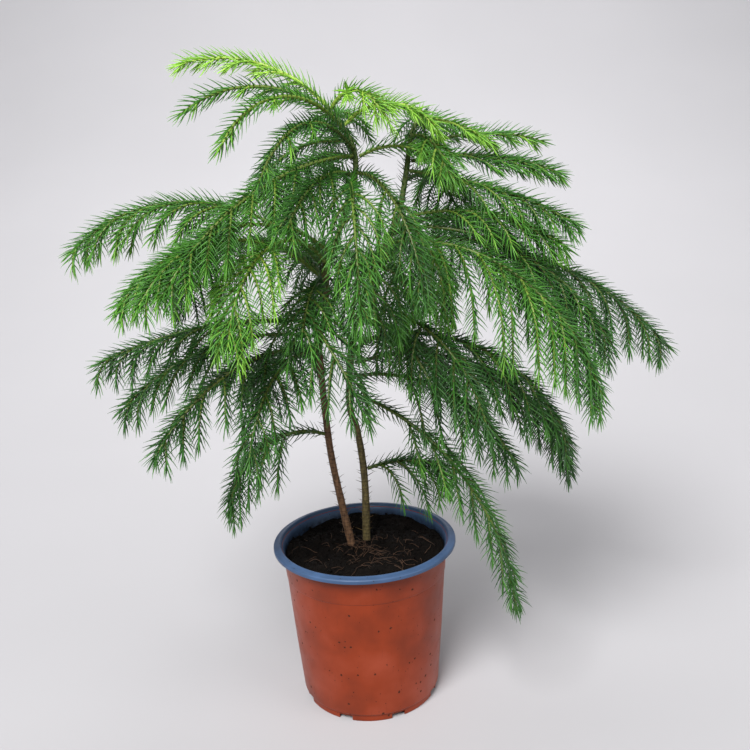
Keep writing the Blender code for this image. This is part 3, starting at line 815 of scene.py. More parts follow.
def terracotta_plastic(colour):
    """Moulded polypropylene, coloured like terracotta: a soft sheen, faint upright scuffs and
    a film of dried soil that gathers in specks."""
    material, tree, shader = new_material("moulded_polypropylene_terracotta")
    place = object_coordinates(tree)
    upright = object_coordinates(tree, (1, 1, 0.05))
    cloud = noise(tree, place, 28 * MM, 3)
    scuffs = noise(tree, upright, 0.9 * MM, 2)
    darker = scaled(colour, 0.72)
    lighter = tuple(min(1, 1.22 * c + 0.012) for c in colour)
    base = ramp(tree, cloud, [(0.3, darker), (0.5, colour), (0.72, lighter)])
    thin = ramp(tree, scuffs, [(0.62, grey(0)), (0.72, grey(1))])
    scuffed = mixed(tree, math_node(tree, "MULTIPLY", thin, 0.22), base, scaled(colour, 0.55))
    large, small = soil_marks(tree, place, 3.6 * MM, 0.1), soil_marks(tree, place, 1.5 * MM, 0.05)
    specks = math_node(tree, "MAXIMUM", large, small)
    soiled = mixed(tree, math_node(tree, "MULTIPLY", specks, 0.85), scuffed, linear("#2E1A10"))
    tree.links.new(soiled, shader.inputs["Base Color"])
    gloss = remap(tree, noise(tree, place, 9 * MM, 4), (0.3, 0.7), (0.34, 0.46))
    rough = math_node(tree, "MAXIMUM", gloss, math_node(tree, "MULTIPLY", specks, 0.9))
    tree.links.new(rough, shader.inputs["Roughness"])
    grain = math_node(tree, "MULTIPLY", noise(tree, place, 0.5 * MM, 2), 0.12)
    bump(tree, shader, math_node(tree, "ADD", grain, specks), 0.18 * MM, 0.6)
    shader.inputs["IOR"].default_value = 1.49
    shader.inputs["Specular IOR Level"].default_value = 0.3
    return material


def blue_plastic(colour):
    """Moulded polypropylene, blue: the pot's inner layer and rim. Painted shade darkens it in patches
    further down inside, towards the soil, and leaves the rim at the top at full colour; specks of dried soil
    lie on it."""
    material, tree, shader = new_material("moulded_polypropylene_blue")
    place = object_coordinates(tree)
    height = add(tree, "ShaderNodeSeparateXYZ", {"Vector": place}).outputs[2]
    cloud = noise(tree, place, 14 * MM, 4)
    base = ramp(tree, cloud, [(0.3, scaled(colour, 0.8)), (0.6, colour), (0.8, scaled(colour, 1.25))])
    # painted shade: a deeper blue, stronger the further down inside the pot, broken into patches
    low = remap(tree, height, (SOIL_LEVEL, POT_HEIGHT - 3 * MM), (1.0, 0.0))
    shade_patches = ramp(tree, noise(tree, place, 3 * MM, 4), [(0.3, grey(0.4)), (0.6, grey(1))])
    painted_shade_inside = mixed(tree, math_node(tree, "MULTIPLY", low, shade_patches), base, linear("#15202F"))
    specks = soil_marks(tree, place, 1.8 * MM, 0.08)
    soiled = mixed(tree, math_node(tree, "MULTIPLY", specks, 0.8), painted_shade_inside, linear("#2A1B12"))
    tree.links.new(soiled, shader.inputs["Base Color"])
    gloss = remap(tree, noise(tree, place, 6 * MM, 4), (0.3, 0.7), (0.36, 0.5))
    tree.links.new(gloss, shader.inputs["Roughness"])
    bump(tree, shader, noise(tree, place, 0.6 * MM, 2), 0.03 * MM, 0.5)
    shader.inputs["IOR"].default_value = 1.49
    shader.inputs["Specular IOR Level"].default_value = 0.3
    return material


def is_blue(face):
    """Whether a face of the pot, standing at the origin, is on the inner layer or the rim."""
    radius, height = math.hypot(face.center.x, face.center.y), face.center.z
    faces_in = face.normal.x * face.center.x + face.normal.y * face.center.y < 0
    deep_in = radius < wall_radius(height) - 2 * WALL
    if (faces_in or deep_in) and height > FOOT_HEIGHT + FLOOR / 2:
        return True
    faces_up = face.normal.z > 0.2
    return height > POT_HEIGHT - RIM_DROP and (radius > RIM_RADIUS - WALL / 2 or faces_up)


class ARAUCARIA_OT_pot(bpy.types.Operator):
    """Builds the nursery pot, terracotta outside and blue inside"""

    bl_idname = "araucaria.pot"
    bl_label = "Pot"

    def execute(self, context):
        settings = context.scene.araucaria_pot
        mesh = cut(turned("pot_shell", pot_profile(settings.edge_round), POT_STEPS), base_cutter())
        materials = [terracotta_plastic(settings.outside), blue_plastic(settings.inside)]
        zones = [int(is_blue(face)) for face in mesh.polygons]
        mesh.transform(Matrix.Translation(POT_AXIS))
        smooth_shading(mesh)
        piece = piece_of("nursery_pot", mesh, materials, ["pot"])
        piece.data.polygons.foreach_set("material_index", zones)
        return {"FINISHED"}


# ------------------------------------------------------------------ soil


def soil_height(x, y, waves):
    """Uneven height of the soil at a place, above its level at the edge."""
    radius = math.hypot(x, y) / (wall_radius(SOIL_LEVEL) - WALL)
    rise = SOIL_CROWN * (1 - radius**2)
    for wave_x, wave_y, phase, size in waves:
        rise += size * math.sin(wave_x * x + wave_y * y + phase)
    return rise


def soil_waves(unevenness, seed):
    """A few gentle waves in different directions: (x and y wave numbers, phase, height)."""
    chance = random.Random(seed)
    waves = []
    for length in (42, 30, 19, 13, 9, 6, 4.4, 3.3):
        turn = chance.uniform(0, 2 * math.pi)
        number = 2 * math.pi / (length * MM)
        size = unevenness * length / 90
        waves.append((number * math.cos(turn), number * math.sin(turn), chance.uniform(0, 6.28), size))
    return waves


def soil_mesh(waves):
    """The soil: an uneven top of fine rings, a wall just inside the pot's, and a flat bottom."""
    gap = CLEARANCE + 0.2 * MM
    edge = wall_radius(SOIL_LEVEL) - WALL - gap
    bottom = SOIL_LOW.z
    profile = [(edge * i / 44, SOIL_LEVEL) for i in range(45)]
    profile += [
        (wall_radius(bottom + SOIL_BOTTOM_ROUND) - WALL - gap, bottom + SOIL_BOTTOM_ROUND),
        (wall_radius(bottom) - WALL - gap - SOIL_BOTTOM_ROUND, bottom),
        (0, bottom),
    ]
    mesh = turned("soil", profile, 96)
    mesh.flip_normals()
    for vertex in mesh.vertices:
        x, y, z = vertex.co
        if z > SOIL_LEVEL - 0.1 * MM:
            vertex.co.z = z + soil_height(x, y, waves)
    return mesh


def random_vector(tree, low, high, seed):
    """A random vector for each point, each part between low's and high's."""
    inputs = {0: low, 1: high, "Seed": seed}
    return add(tree, "FunctionNodeRandomValue", inputs, data_type="FLOAT_VECTOR").outputs[0]


def crumb_tree():
    """Geometry Nodes that scatter crumbs over a surface."""
    tree = bpy.data.node_groups.new("scattered_crumbs", "GeometryNodeTree")
    tree.interface.new_socket("Geometry", in_out="INPUT", socket_type="NodeSocketGeometry")
    for name, kind, default in (
        ("Spacing", "NodeSocketFloat", 1.6 * MM),
        ("Size", "NodeSocketFloat", 1.5 * MM),
        ("Seed", "NodeSocketInt", 3),
        ("Material", "NodeSocketMaterial", None),
    ):
        socket = tree.interface.new_socket(name, in_out="INPUT", socket_type=kind)
        if default is not None:
            socket.default_value = default
    tree.interface.new_socket("Geometry", in_out="OUTPUT", socket_type="NodeSocketGeometry")
    given = add(tree, "NodeGroupInput").outputs
    scatter = {
        "Mesh": given["Geometry"],
        "Distance Min": given["Spacing"],
        "Density Max": 0.5e6,
        "Density Factor": 1.0,
        "Seed": given["Seed"],
    }
    points = add(tree, "GeometryNodeDistributePointsOnFaces", scatter, distribute_method="POISSON")
    ball = add(tree, "GeometryNodeMeshIcoSphere", {"Radius": 0.5, "Subdivisions": 1})
    knock = random_vector(tree, (-0.16,) * 3, (0.16,) * 3, 11)
    crumb = add(tree, "GeometryNodeSetPosition", {"Geometry": ball.outputs[0], "Offset": knock})
    once = add(tree, "FunctionNodeRandomValue", {2: 0.3, 3: 1.6, "Seed": 8}, data_type="FLOAT")
    size = math_node(tree, "MULTIPLY", once.outputs[1], given["Size"])
    shape = random_vector(tree, (0.25, 0.25, 0.2), (1.0, 0.9, 0.7), 6)
    places = {
        "Points": points.outputs["Points"],
        "Instance": crumb.outputs[0],
        "Rotation": random_vector(tree, (0.0,) * 3, (6.28,) * 3, 5),
        "Scale": add(tree, "ShaderNodeVectorMath", {0: shape, "Scale": size}, operation="SCALE").outputs[0],
    }
    instances = add(tree, "GeometryNodeInstanceOnPoints", places)
    real = add(tree, "GeometryNodeRealizeInstances", {0: instances.outputs[0]}).outputs[0]
    dressed = add(tree, "GeometryNodeSetMaterial", {"Geometry": real, "Material": given["Material"]})
    add(tree, "NodeGroupOutput", {0: dressed.outputs[0]})
    return tree


def damp_peat(colour):
    """Damp peat compost: near-black crumbs, rough, with rusty and grey bits through it."""
    material, tree, shader = new_material("damp_peat_compost")
    place = object_coordinates(tree)
    fine = noise(tree, place, 1.1 * MM, 5, 0.7)
    wide = noise(tree, place, 9 * MM, 3)
    stops = [(0.3, scaled(colour, 0.3)), (0.5, colour), (0.68, scaled(colour, 2.4))]
    base = ramp(tree, fine, [*stops, (0.8, linear("#6A4A2E"))])
    damp = ramp(tree, wide, [(0.35, grey(0.55)), (0.65, grey(1.15))])
    tree.links.new(mixed(tree, 1.0, base, damp, "MULTIPLY"), shader.inputs["Base Color"])
    shader.inputs["Roughness"].default_value = 0.93
    shader.inputs["Specular IOR Level"].default_value = 0.12
    bump(tree, shader, fine, 0.5 * MM, 0.8)
    return material


def coir(colour):
    """Coir fibre: dry, matt and straw-brown, darker along its length in places."""
    material, tree, shader = new_material("coir_fibre")
    mottled = noise(tree, object_coordinates(tree), 2.2 * MM, 3)
    base = ramp(tree, mottled, [(0.35, scaled(colour, 0.45)), (0.65, colour)])
    tree.links.new(base, shader.inputs["Base Color"])
    shader.inputs["Roughness"].default_value = 0.8
    bump(tree, shader, mottled, 0.05 * MM)
    return material


def fibre_lines(waves, count, seed):
    """Loose curved fibres that lie on the soil, more of them at the front. Every third one
    arches up."""
    chance = random.Random(seed)
    last = FIBRE_POINTS - 1
    lines = []
    while len(lines) < count:
        reach = chance.uniform(0, FIBRE_REACH)
        turn = math.radians(chance.gauss(262, 60))
        x, y = reach * math.cos(turn), reach * math.sin(turn)
        bearing, bend = chance.uniform(0, 360), chance.uniform(-90, 90)
        length = chance.uniform(*FIBRE_LENGTHS)
        arch = 1.6 * MM if len(lines) % 3 == 0 else 0.48 * MM
        path = []
        for k in range(FIBRE_POINTS):
            rise = 0.7 * MM + arch * math.sin(math.pi * k / last)
            path.append((x, y, SOIL_LEVEL + soil_height(x, y, waves) + rise))
            step = heading(bearing + bend * k / last, 0) * length / last
            x, y = x + step[0], y + step[1]
        if max(math.hypot(px, py) for px, py, _ in path) < FIBRE_LIMIT:
            lines.append((path, np.linspace(1, 0.5, FIBRE_POINTS) * chance.uniform(*FIBRE_RADII)))
    return lines


class ARAUCARIA_OT_soil(bpy.types.Operator):
    """Fills the pot with damp peat, crumbs and coir fibres"""

    bl_idname = "araucaria.soil"
    bl_label = "Soil"

    def execute(self, context):
        settings = context.scene.araucaria_soil
        waves = soil_waves(settings.roughness, 4)
        peat = damp_peat(settings.peat)
        body = soil_mesh(waves)
        top = turned("soil_top", [(CRUMBED_RADIUS * i / 12, SOIL_LEVEL) for i in range(13)], 48)
        top.flip_normals()
        for vertex in top.vertices:
            vertex.co.z += soil_height(vertex.co.x, vertex.co.y, waves)
        scatter, size = crumb_tree(), settings.crumb
        crumbs = grown(scatter, top, size=size, spacing=CRUMB_SPACING, seed=3, material=peat)
        lumps = grown(scatter, top, size=LUMP_SIZE * size, spacing=LUMP_SPACING, seed=9, material=peat)
        body.transform(Matrix.Translation(POT_AXIS))
        smooth_shading(body, 60)
        piece_of("soil", body, [peat], ["soil"])
        for name, mesh in (("soil_crumbs", crumbs), ("soil_lumps", lumps)):
            mesh.transform(Matrix.Translation(POT_AXIS))
            piece_of(name, mesh, [peat])
        fibres = tubes("coir_fibres", fibre_lines(waves, FIBRES, 21), 5)
        fibres.transform(Matrix.Translation(POT_AXIS))
        smooth_shading(fibres, 60)
        piece_of("coir_fibres", fibres, [coir(settings.fibre)])
        return {"FINISHED"}


# ------------------------------------------------------------------ stems


def young_bark(name, colour, green):
    """Young bark: papery and matt, ringed by leaf scars, and green towards the tip."""
    material, tree, shader = new_material(name)
    place = object_coordinates(tree)
    height = add(tree, "ShaderNodeSeparateXYZ", {"Vector": place}).outputs[2]
    flakes = noise(tree, object_coordinates(tree, (1, 1, 0.35)), 1.6 * MM, 4, 0.6)
    wander = math_node(tree, "MULTIPLY", noise(tree, place, 4 * MM, 2), 2.2 * MM)
    ring = math_node(tree, "ADD", height, wander)
    scars = math_node(tree, "SINE", math_node(tree, "MULTIPLY", ring, 2 * math.pi / SCAR_SPACING))
    base = ramp(tree, flakes, [(0.28, scaled(colour, 0.35)), (0.5, colour), (0.72, scaled(colour, 1.7))])
    lines = ramp(tree, scars, [(0.0, grey(1)), (0.75, grey(1)), (0.98, grey(0.55))])
    scarred = mixed(tree, 1.0, base, lines, "MULTIPLY")
    ragged = math_node(tree, "ADD", height, math_node(tree, "MULTIPLY", flakes, 30 * MM))
    young = remap(tree, ragged, (SOIL_LEVEL + 150 * MM, SOIL_LEVEL + 235 * MM))
    tree.links.new(mixed(tree, young, scarred, green), shader.inputs["Base Color"])
    shader.inputs["Roughness"].default_value = 0.78
    relief = math_node(tree, "ADD", flakes, math_node(tree, "MULTIPLY", scars, 0.25))
    bump(tree, shader, relief, 0.35 * MM, 0.8)
    return material


def knobbly(name, points, radii, seed):
    """The stem's line with its radius swelling at each whorl and a little all along."""
    chance = random.Random(seed)
    branches = [branch for branch in BRANCHES.values() if branch.stem == name]
    heights = [branch.height * MM + COLLAR_LEVEL for branch in branches]
    swollen = []
    for point, radius in zip(points, radii):
        near = sum(math.exp(-(((point[2] - h) / WHORL_REACH) ** 2)) for h in heights)
        swollen.append(radius * (1 + chance.uniform(-0.04, 0.05) + 0.05 * min(near, 2)))
    return points, np.array(swollen)


class ARAUCARIA_OT_stems(bpy.types.Operator):
    """Builds the two stems with their bark and their own needles, dry and green"""

    bl_idname = "araucaria.stems"
    bl_label = "Stems"

    def execute(self, context):
        settings = context.scene.araucaria_stems
        foliage = context.scene.araucaria_foliage
        colours = {"left": settings.brown, "right": settings.olive}
        tree, skin = needle_tree(), needle_material()
        width, thickness = foliage.width, foliage.thickness
        dry = (settings.stub_length, 0.75 * width, 0.7 * thickness, settings.stub_spacing, 74)
        green = (foliage.length, width, thickness, settings.leaf_spacing, 66)
        for seed, name in enumerate(STEMS, 1):
            points, radii = knobbly(name, *stem_line(name, 9), seed)
            mesh = tubes(f"stem_{name}", [(points, radii)], STEM_SIDES)
            mesh.transform(Matrix.Translation(POT_AXIS))
            smooth_shading(mesh, 50)
            bark = young_bark(f"young_bark_{name}", colours[name], settings.green)
            piece_of(f"stem_{name}", mesh, [bark], [f"stem_{name}"])
            for kind, (length, wide, thick, spacing, lean) in (("dry", dry), ("green", green)):
                needles = grown(
                    tree,
                    stem_guide(kind, points, radii, seed),
                    needle_length=length,
                    needle_width=wide,
                    needle_thickness=thick,
                    spacing=spacing,
                    turn=math.radians(137.5),
                    lean=math.radians(lean),
                    tip_lean=math.radians(20),
                    incurve=0.14,
                    with_twig=False,
                    seed=foliage.seed + seed,
                    material=skin,
                )
                piece_of(f"stem_needles_{kind}_{name}", needles, [skin])
        return {"FINISHED"}


def stem_guide(kind, points, radii, seed):
    """The line that a stem's own needles grow from: sparse dry ones low down, where the bark
    is old, and close green ones from the big whorl up to the leader's bright bud."""
    chance = random.Random(seed)
    crown = points[-1][2]
    rows = []
    for point, radius in zip(points, radii):
        height = point[2] - SOIL_LEVEL
        if kind == "dry" and 5 * MM < height < LEADER_FOOT + DRY_OVERLAP:
            size = chance.uniform(0.6, 1.2)
            rows.append((point, radius, 0.02 + 0.05 * chance.random(), size, 0.0))
        if kind == "green" and height > LEADER_FOOT:
            to_tip = crown - point[2]
            grown_in = smoothstep((height - LEADER_FOOT) / (30 * MM))
            bud = smoothstep(1 - to_tip / (9 * MM))
            fresh = 0.2 + 0.12 * grown_in + 0.5 * bud
            rows.append((point, radius, fresh, (0.5 + 0.22 * grown_in) * (1 - 0.15 * bud), bud))
    return guide_mesh(f"stem_guide_{kind}_{seed}", [rows])


# ------------------------------------------------------------------ foliage


def guide_mesh(name, lines):
    """A mesh of plain lines. Each row has a point, the twig's radius, how fresh the growth is,
    the needles' size and how far they close forward."""
    rows = [row for line in lines for row in line]
    edges, start = [], 0
    for line in lines:
        edges += [(start + i, start + i + 1) for i in range(len(line) - 1)]
        start += len(line)
    mesh = bpy.data.meshes.new(name)
    mesh.from_pydata([tuple(Vector(row[0]) + POT_AXIS) for row in rows], edges, [])
    for column, attribute in enumerate(("radius_here", "fresh", "vigour", "closing"), 1):
        layer = mesh.attributes.new(attribute, "FLOAT", "POINT")
        layer.data.foreach_set("value", [float(row[column]) for row in rows])
    return mesh


def smoothstep(value):
    """0 below 0, 1 above 1 and a smooth rise between."""
    value = min(1.0, max(0.0, value))
    return value * value * (3 - 2 * value)


def shoot_rows(points, radii, fresher, chance, is_axis):
    """A shoot's rows for guide_mesh."""
    line, widths = smooth(points, radii, 3)
    runs = np.linalg.norm(np.diff(line, axis=0), axis=1)
    places = np.append(0, np.cumsum(runs))
    length = places[-1]
    lively = chance.uniform(-0.06, 0.06)
    rows = []
    for point, radius, place in zip(line, widths, places):
        t = place / length
        to_tip = length - place
        level = (point[2] - COLLAR_LEVEL) / (300 * MM)
        fresh = 0.2 + 0.26 * level + fresher + lively + 0.15 * smoothstep(1 - to_tip / (13 * MM))
        if is_axis:
            fresh -= 0.04
        vigour = 0.62 + 0.38 * smoothstep(place / (9 * MM)) - 0.22 * smoothstep(1 - to_tip / (10 * MM))
        closing = smoothstep(1 - to_tip / (7 * MM))
        taper = 1 - 0.45 * smoothstep(1 - to_tip / (8 * MM))
        rows.append((point, radius * taper, min(0.98, max(0.16, fresh)), vigour, closing))
    return rows


def needle_tree():
    """Geometry Nodes that turn lines into twigs set with needles.

    The finished mesh carries a map of its own, OFBake: across it runs how fresh the growth
    is, and up it the place along a needle or, in its top band, round a twig."""
    name = "needled_twigs"
    if name in bpy.data.node_groups:
        return bpy.data.node_groups[name]
    tree = bpy.data.node_groups.new(name, "GeometryNodeTree")
    tree.interface.new_socket("Geometry", in_out="INPUT", socket_type="NodeSocketGeometry")
    for label, kind in (
        ("Needle length", "Float"),
        ("Needle width", "Float"),
        ("Needle thickness", "Float"),
        ("Spacing", "Float"),
        ("Turn", "Float"),
        ("Lean", "Float"),
        ("Tip lean", "Float"),
        ("Incurve", "Float"),
        ("With twig", "Bool"),
        ("Seed", "Int"),
        ("Material", "Material"),
    ):
        tree.interface.new_socket(label, in_out="INPUT", socket_type=f"NodeSocket{kind}")
    tree.interface.new_socket("Geometry", in_out="OUTPUT", socket_type="NodeSocketGeometry")
    given = add(tree, "NodeGroupInput").outputs

    def attribute(label):
        return add(tree, "GeometryNodeInputNamedAttribute", {"Name": label}, data_type="FLOAT").outputs[0]

    def store(geometry, label, value, domain="POINT", data_type="FLOAT"):
        inputs = {"Geometry": geometry, "Name": label, "Value": value}
        kind = "GeometryNodeStoreNamedAttribute"
        return add(tree, kind, inputs, data_type=data_type, domain=domain).outputs[0]

    def chance(low, high, offset):
        inputs = {2: low, 3: high, "Seed": math_node(tree, "ADD", given["Seed"], offset)}
        return add(tree, "FunctionNodeRandomValue", inputs, data_type="FLOAT").outputs[1]

    def times(first, second):
        return math_node(tree, "MULTIPLY", first, second)

    def vector(**parts):
        return add(tree, "ShaderNodeCombineXYZ", parts).outputs[0]

    lines = add(tree, "GeometryNodeMeshToCurve", {0: given["Geometry"]}).outputs[0]

    # The twig, six-sided. "band" is a point's height on the map, "across" its nudge sideways.
    ring = add(tree, "GeometryNodeCurvePrimitiveCircle", {"Resolution": 6, "Radius": 1.0}).outputs[0]
    factor = add(tree, "GeometryNodeSplineParameter").outputs["Factor"]
    ring = store(ring, "band", math_node(tree, "MULTIPLY_ADD", factor, 0.2, 0.78))
    swept = {"Curve": lines, "Profile Curve": ring, "Scale": attribute("radius_here"), "Fill Caps": True}
    twig = add(tree, "GeometryNodeCurveToMesh", swept).outputs[0]
    twig = store(twig, "tone", attribute("fresh"))
    twig = store(twig, "across", 0.0)

    # One needle stands up from the origin: a tapering diamond section that curves towards +Y.
    rod = add(tree, "GeometryNodeCurvePrimitiveLine", {"End": (0, 0, 1)}).outputs[0]
    rod = add(tree, "GeometryNodeResampleCurve", {"Curve": rod, "Count": 4}).outputs[0]
    t = add(tree, "GeometryNodeSplineParameter").outputs["Factor"]
    rod = store(rod, "place", t)
    bend = times(times(t, t), given["Incurve"])
    there = vector(Y=times(bend, given["Needle length"]), Z=times(t, given["Needle length"]))
    rod = add(tree, "GeometryNodeSetPosition", {"Geometry": rod, "Position": there}).outputs[0]
    diamond = add(tree, "GeometryNodeCurvePrimitiveCircle", {"Resolution": 4, "Radius": 0.5}).outputs[0]
    shape = vector(X=given["Needle width"], Y=given["Needle thickness"], Z=1.0)
    diamond = add(tree, "GeometryNodeTransform", {"Geometry": diamond, "Scale": shape}).outputs[0]
    position = add(tree, "GeometryNodeInputPosition").outputs[0]
    side = add(tree, "ShaderNodeSeparateXYZ", {0: position}).outputs[0]
    side = math_node(tree, "DIVIDE", side, given["Needle width"])
    diamond = store(diamond, "across", times(side, 0.03))
    thinner = times(math_node(tree, "POWER", attribute("place"), 2.2), 0.88)
    taper = math_node(tree, "SUBTRACT", 1.0, thinner)
    swept = {"Curve": rod, "Profile Curve": diamond, "Scale": taper, "Fill Caps": True}
    needle = add(tree, "GeometryNodeCurveToMesh", swept).outputs[0]
    needle = store(needle, "band", math_node(tree, "MULTIPLY_ADD", attribute("place"), 0.66, 0.04))

    # Needles all along the lines, each turned on from the last.
    spaced = {"Curve": lines, "Length": given["Spacing"]}
    spread = add(tree, "GeometryNodeCurveToPoints", spaced, mode="LENGTH")
    tone = math_node(tree, "ADD", attribute("fresh"), chance(-0.09, 0.09, 1))
    points = store(spread.outputs["Points"], "tone", tone)
    index = add(tree, "GeometryNodeInputIndex").outputs[0]
    roll = math_node(tree, "ADD", times(index, given["Turn"]), chance(-0.14, 0.14, 2))
    lean_range = math_node(tree, "SUBTRACT", given["Tip lean"], given["Lean"])
    lean = math_node(tree, "MULTIPLY_ADD", attribute("closing"), lean_range, given["Lean"])
    lean = math_node(tree, "ADD", lean, chance(-0.12, 0.12, 3))
    turned_by = spread.outputs["Rotation"]
    for part in (vector(Z=roll), vector(X=lean)):
        both = {0: turned_by, 1: add(tree, "FunctionNodeEulerToRotation", {0: part}).outputs[0]}
        turned_by = add(tree, "FunctionNodeRotateRotation", both, rotation_space="LOCAL").outputs[0]
    size = times(attribute("vigour"), chance(0.86, 1.1, 4))
    scale = vector(X=1.0, Y=size, Z=size)
    places = {"Points": points, "Instance": needle, "Rotation": turned_by, "Scale": scale}
    needles = add(tree, "GeometryNodeInstanceOnPoints", places).outputs[0]

    chosen = add(tree, "GeometryNodeSwitch", {0: given["With twig"]}, input_type="GEOMETRY")
    tree.links.new(twig, chosen.inputs["True"])
    joined = add(tree, "GeometryNodeJoinGeometry")
    for geometry in (needles, chosen.outputs[0]):
        tree.links.new(geometry, joined.inputs[0])
    real = add(tree, "GeometryNodeRealizeInstances", {0: joined.outputs[0]}).outputs[0]
    tone = math_node(tree, "MINIMUM", math_node(tree, "MAXIMUM", attribute("tone"), 0.0), 1.0)
    u = math_node(tree, "ADD", math_node(tree, "MULTIPLY_ADD", tone, 0.94, 0.03), attribute("across"))
    mapped = store(real, "OFBake", vector(X=u, Y=attribute("band")), "CORNER", "FLOAT2")
    for label in ("tone", "across", "band", "place", "fresh", "vigour", "closing", "radius_here"):
        mapped = add(tree, "GeometryNodeRemoveAttribute", {"Geometry": mapped, "Name": label}).outputs[0]
    dressed = add(tree, "GeometryNodeSetMaterial", {"Geometry": mapped, "Material": given["Material"]})
    add(tree, "NodeGroupOutput", {0: dressed.outputs[0]})
    return tree


def needle_material():
    """Waxy young conifer needles on green twigs. The wax gives a soft, broad shine. Colour
    follows the mesh's own map: dry, old or fresh across it, and heel to tip up it."""
    name = "waxy_conifer_foliage"
    if name in bpy.data.materials:
        return bpy.data.materials[name]
    material, tree, shader = new_material(name)
    place = add(tree, "ShaderNodeUVMap", uv_map="OFBake").outputs[0]
    apart = add(tree, "ShaderNodeSeparateXYZ", {0: place})
    fresh, up = apart.outputs[0], apart.outputs[1]
    needle = hex_ramp(tree, fresh, NEEDLE_COLOURS)
    heel = ramp(tree, up, [(0.04, grey(0.8)), (0.2, grey(1.0)), (0.55, grey(1.0)), (0.7, grey(1.25))])
    shaded = mixed(tree, 1.0, needle, heel, "MULTIPLY")
    twig = hex_ramp(tree, fresh, TWIG_COLOURS)
    stretched = add(tree, "ShaderNodeMapping", {"Vector": place, "Scale": (60, 14, 1)}).outputs[0]
    mottle = add(tree, "ShaderNodeTexNoise", {"Vector": stretched, "Scale": 1.0, "Detail": 2.0}).outputs[0]
    is_twig = math_node(tree, "GREATER_THAN", up, 0.74)
    chosen = mixed(tree, is_twig, shaded, twig)
    varied = ramp(tree, mottle, [(0.3, grey(0.78)), (0.7, grey(1.2))])
    tree.links.new(mixed(tree, 1.0, chosen, varied, "MULTIPLY"), shader.inputs["Base Color"])
    tree.links.new(remap(tree, mottle, (0.3, 0.7), (0.36, 0.5)), shader.inputs["Roughness"])
    shader.inputs["IOR"].default_value = 1.45
    return material


class ARAUCARIA_OT_foliage(bpy.types.Operator):
    """Grows each branch: its twigs and the needles all along them"""

    bl_idname = "araucaria.foliage"
    bl_label = "Branches"

    def execute(self, context):
        settings = context.scene.araucaria_foliage
        tree, skin = needle_tree(), needle_material()
        for seed, (name, (axis, shoots)) in enumerate(plan_branches().items(), 1):
            chance = random.Random(100 + seed)
            fresher = FRESHER.get(name, 0.0)
            lines = [shoot_rows(*axis, fresher, chance, True)]
            lines += [shoot_rows(*shoot, fresher, chance, False) for shoot in shoots]
            mesh = grown(
                tree,
                guide_mesh(f"guide_{name}", lines),
                needle_length=settings.length,
                needle_width=settings.width,
                needle_thickness=settings.thickness,
                spacing=settings.spacing,
                turn=settings.turn,
                lean=settings.lean,
                tip_lean=settings.tip_lean,
                incurve=settings.incurve,
                with_twig=True,
                seed=settings.seed * 50 + seed,
                material=skin,
            )
            piece_of(f"branch_{name}", mesh, [skin], [f"branch_{name}"])
        return {"FINISHED"}


# ------------------------------------------------------------------ stage


def backdrop_paper_painted_shade(colour):
    """Matt backdrop paper with painted shade: its colour is darkened towards the front and rises to full
    brightness up the wall, with the faintest mottle."""
    material, tree, shader = new_material("graduated_backdrop_paper")
    place = add(tree, "ShaderNodeTexCoord").outputs["Object"]
    back = add(tree, "ShaderNodeSeparateXYZ", {0: place}).outputs[1]
    # painted shade: the floor's colour darkened at the front, lighter towards and up the wall
    depth = remap(tree, back, (-0.3, 1.5))
    shade = ramp(tree, depth, [(0.0, grey(0.5)), (0.45, grey(0.8)), (1.0, grey(1.0))])
    mottle = ramp(tree, noise(tree, place, 0.4, 2), [(0.3, scaled(colour, 0.97)), (0.7, colour)])
    tree.links.new(mixed(tree, 1.0, mottle, shade, "MULTIPLY"), shader.inputs["Base Color"])
    shader.inputs["Roughness"].default_value = 0.9
    shader.inputs["Specular IOR Level"].default_value = 0.2
    return material


def backdrop_mesh():
    """The floor and the wall behind, in one sheet that bends up between them."""
    flat_end = BACKDROP_FAR - BACKDROP_BEND
    outline = [(BACKDROP_NEAR, 0.0)]
    for t in np.linspace(0, math.pi / 2, 40):
        outline.append((flat_end + BACKDROP_BEND * math.sin(t), BACKDROP_BEND - BACKDROP_BEND * math.cos(t)))
    outline.append((BACKDROP_FAR, BACKDROP_HEIGHT))
    vertices = [(x, y, z) for y, z in outline for x in (-BACKDROP_HALF_WIDTH, BACKDROP_HALF_WIDTH)]
    faces = [[2 * i, 2 * i + 1, 2 * i + 3, 2 * i + 2] for i in range(len(outline) - 1)]
    mesh = made_mesh("backdrop", vertices, faces)
    mesh.shade_smooth()
    return mesh


def add_light(name, place, aim, size, power):
    light = bpy.data.lights.new(name, "AREA")
    light.shape = "DISK"
    light.size = size
    light.energy = power
    obj = bpy.data.objects.new(name, light)
    bpy.context.scene.collection.objects.link(obj)
    obj.location = place
    obj.rotation_euler = (Vector(aim) - Vector(place)).to_track_quat("-Z", "Y").to_euler()


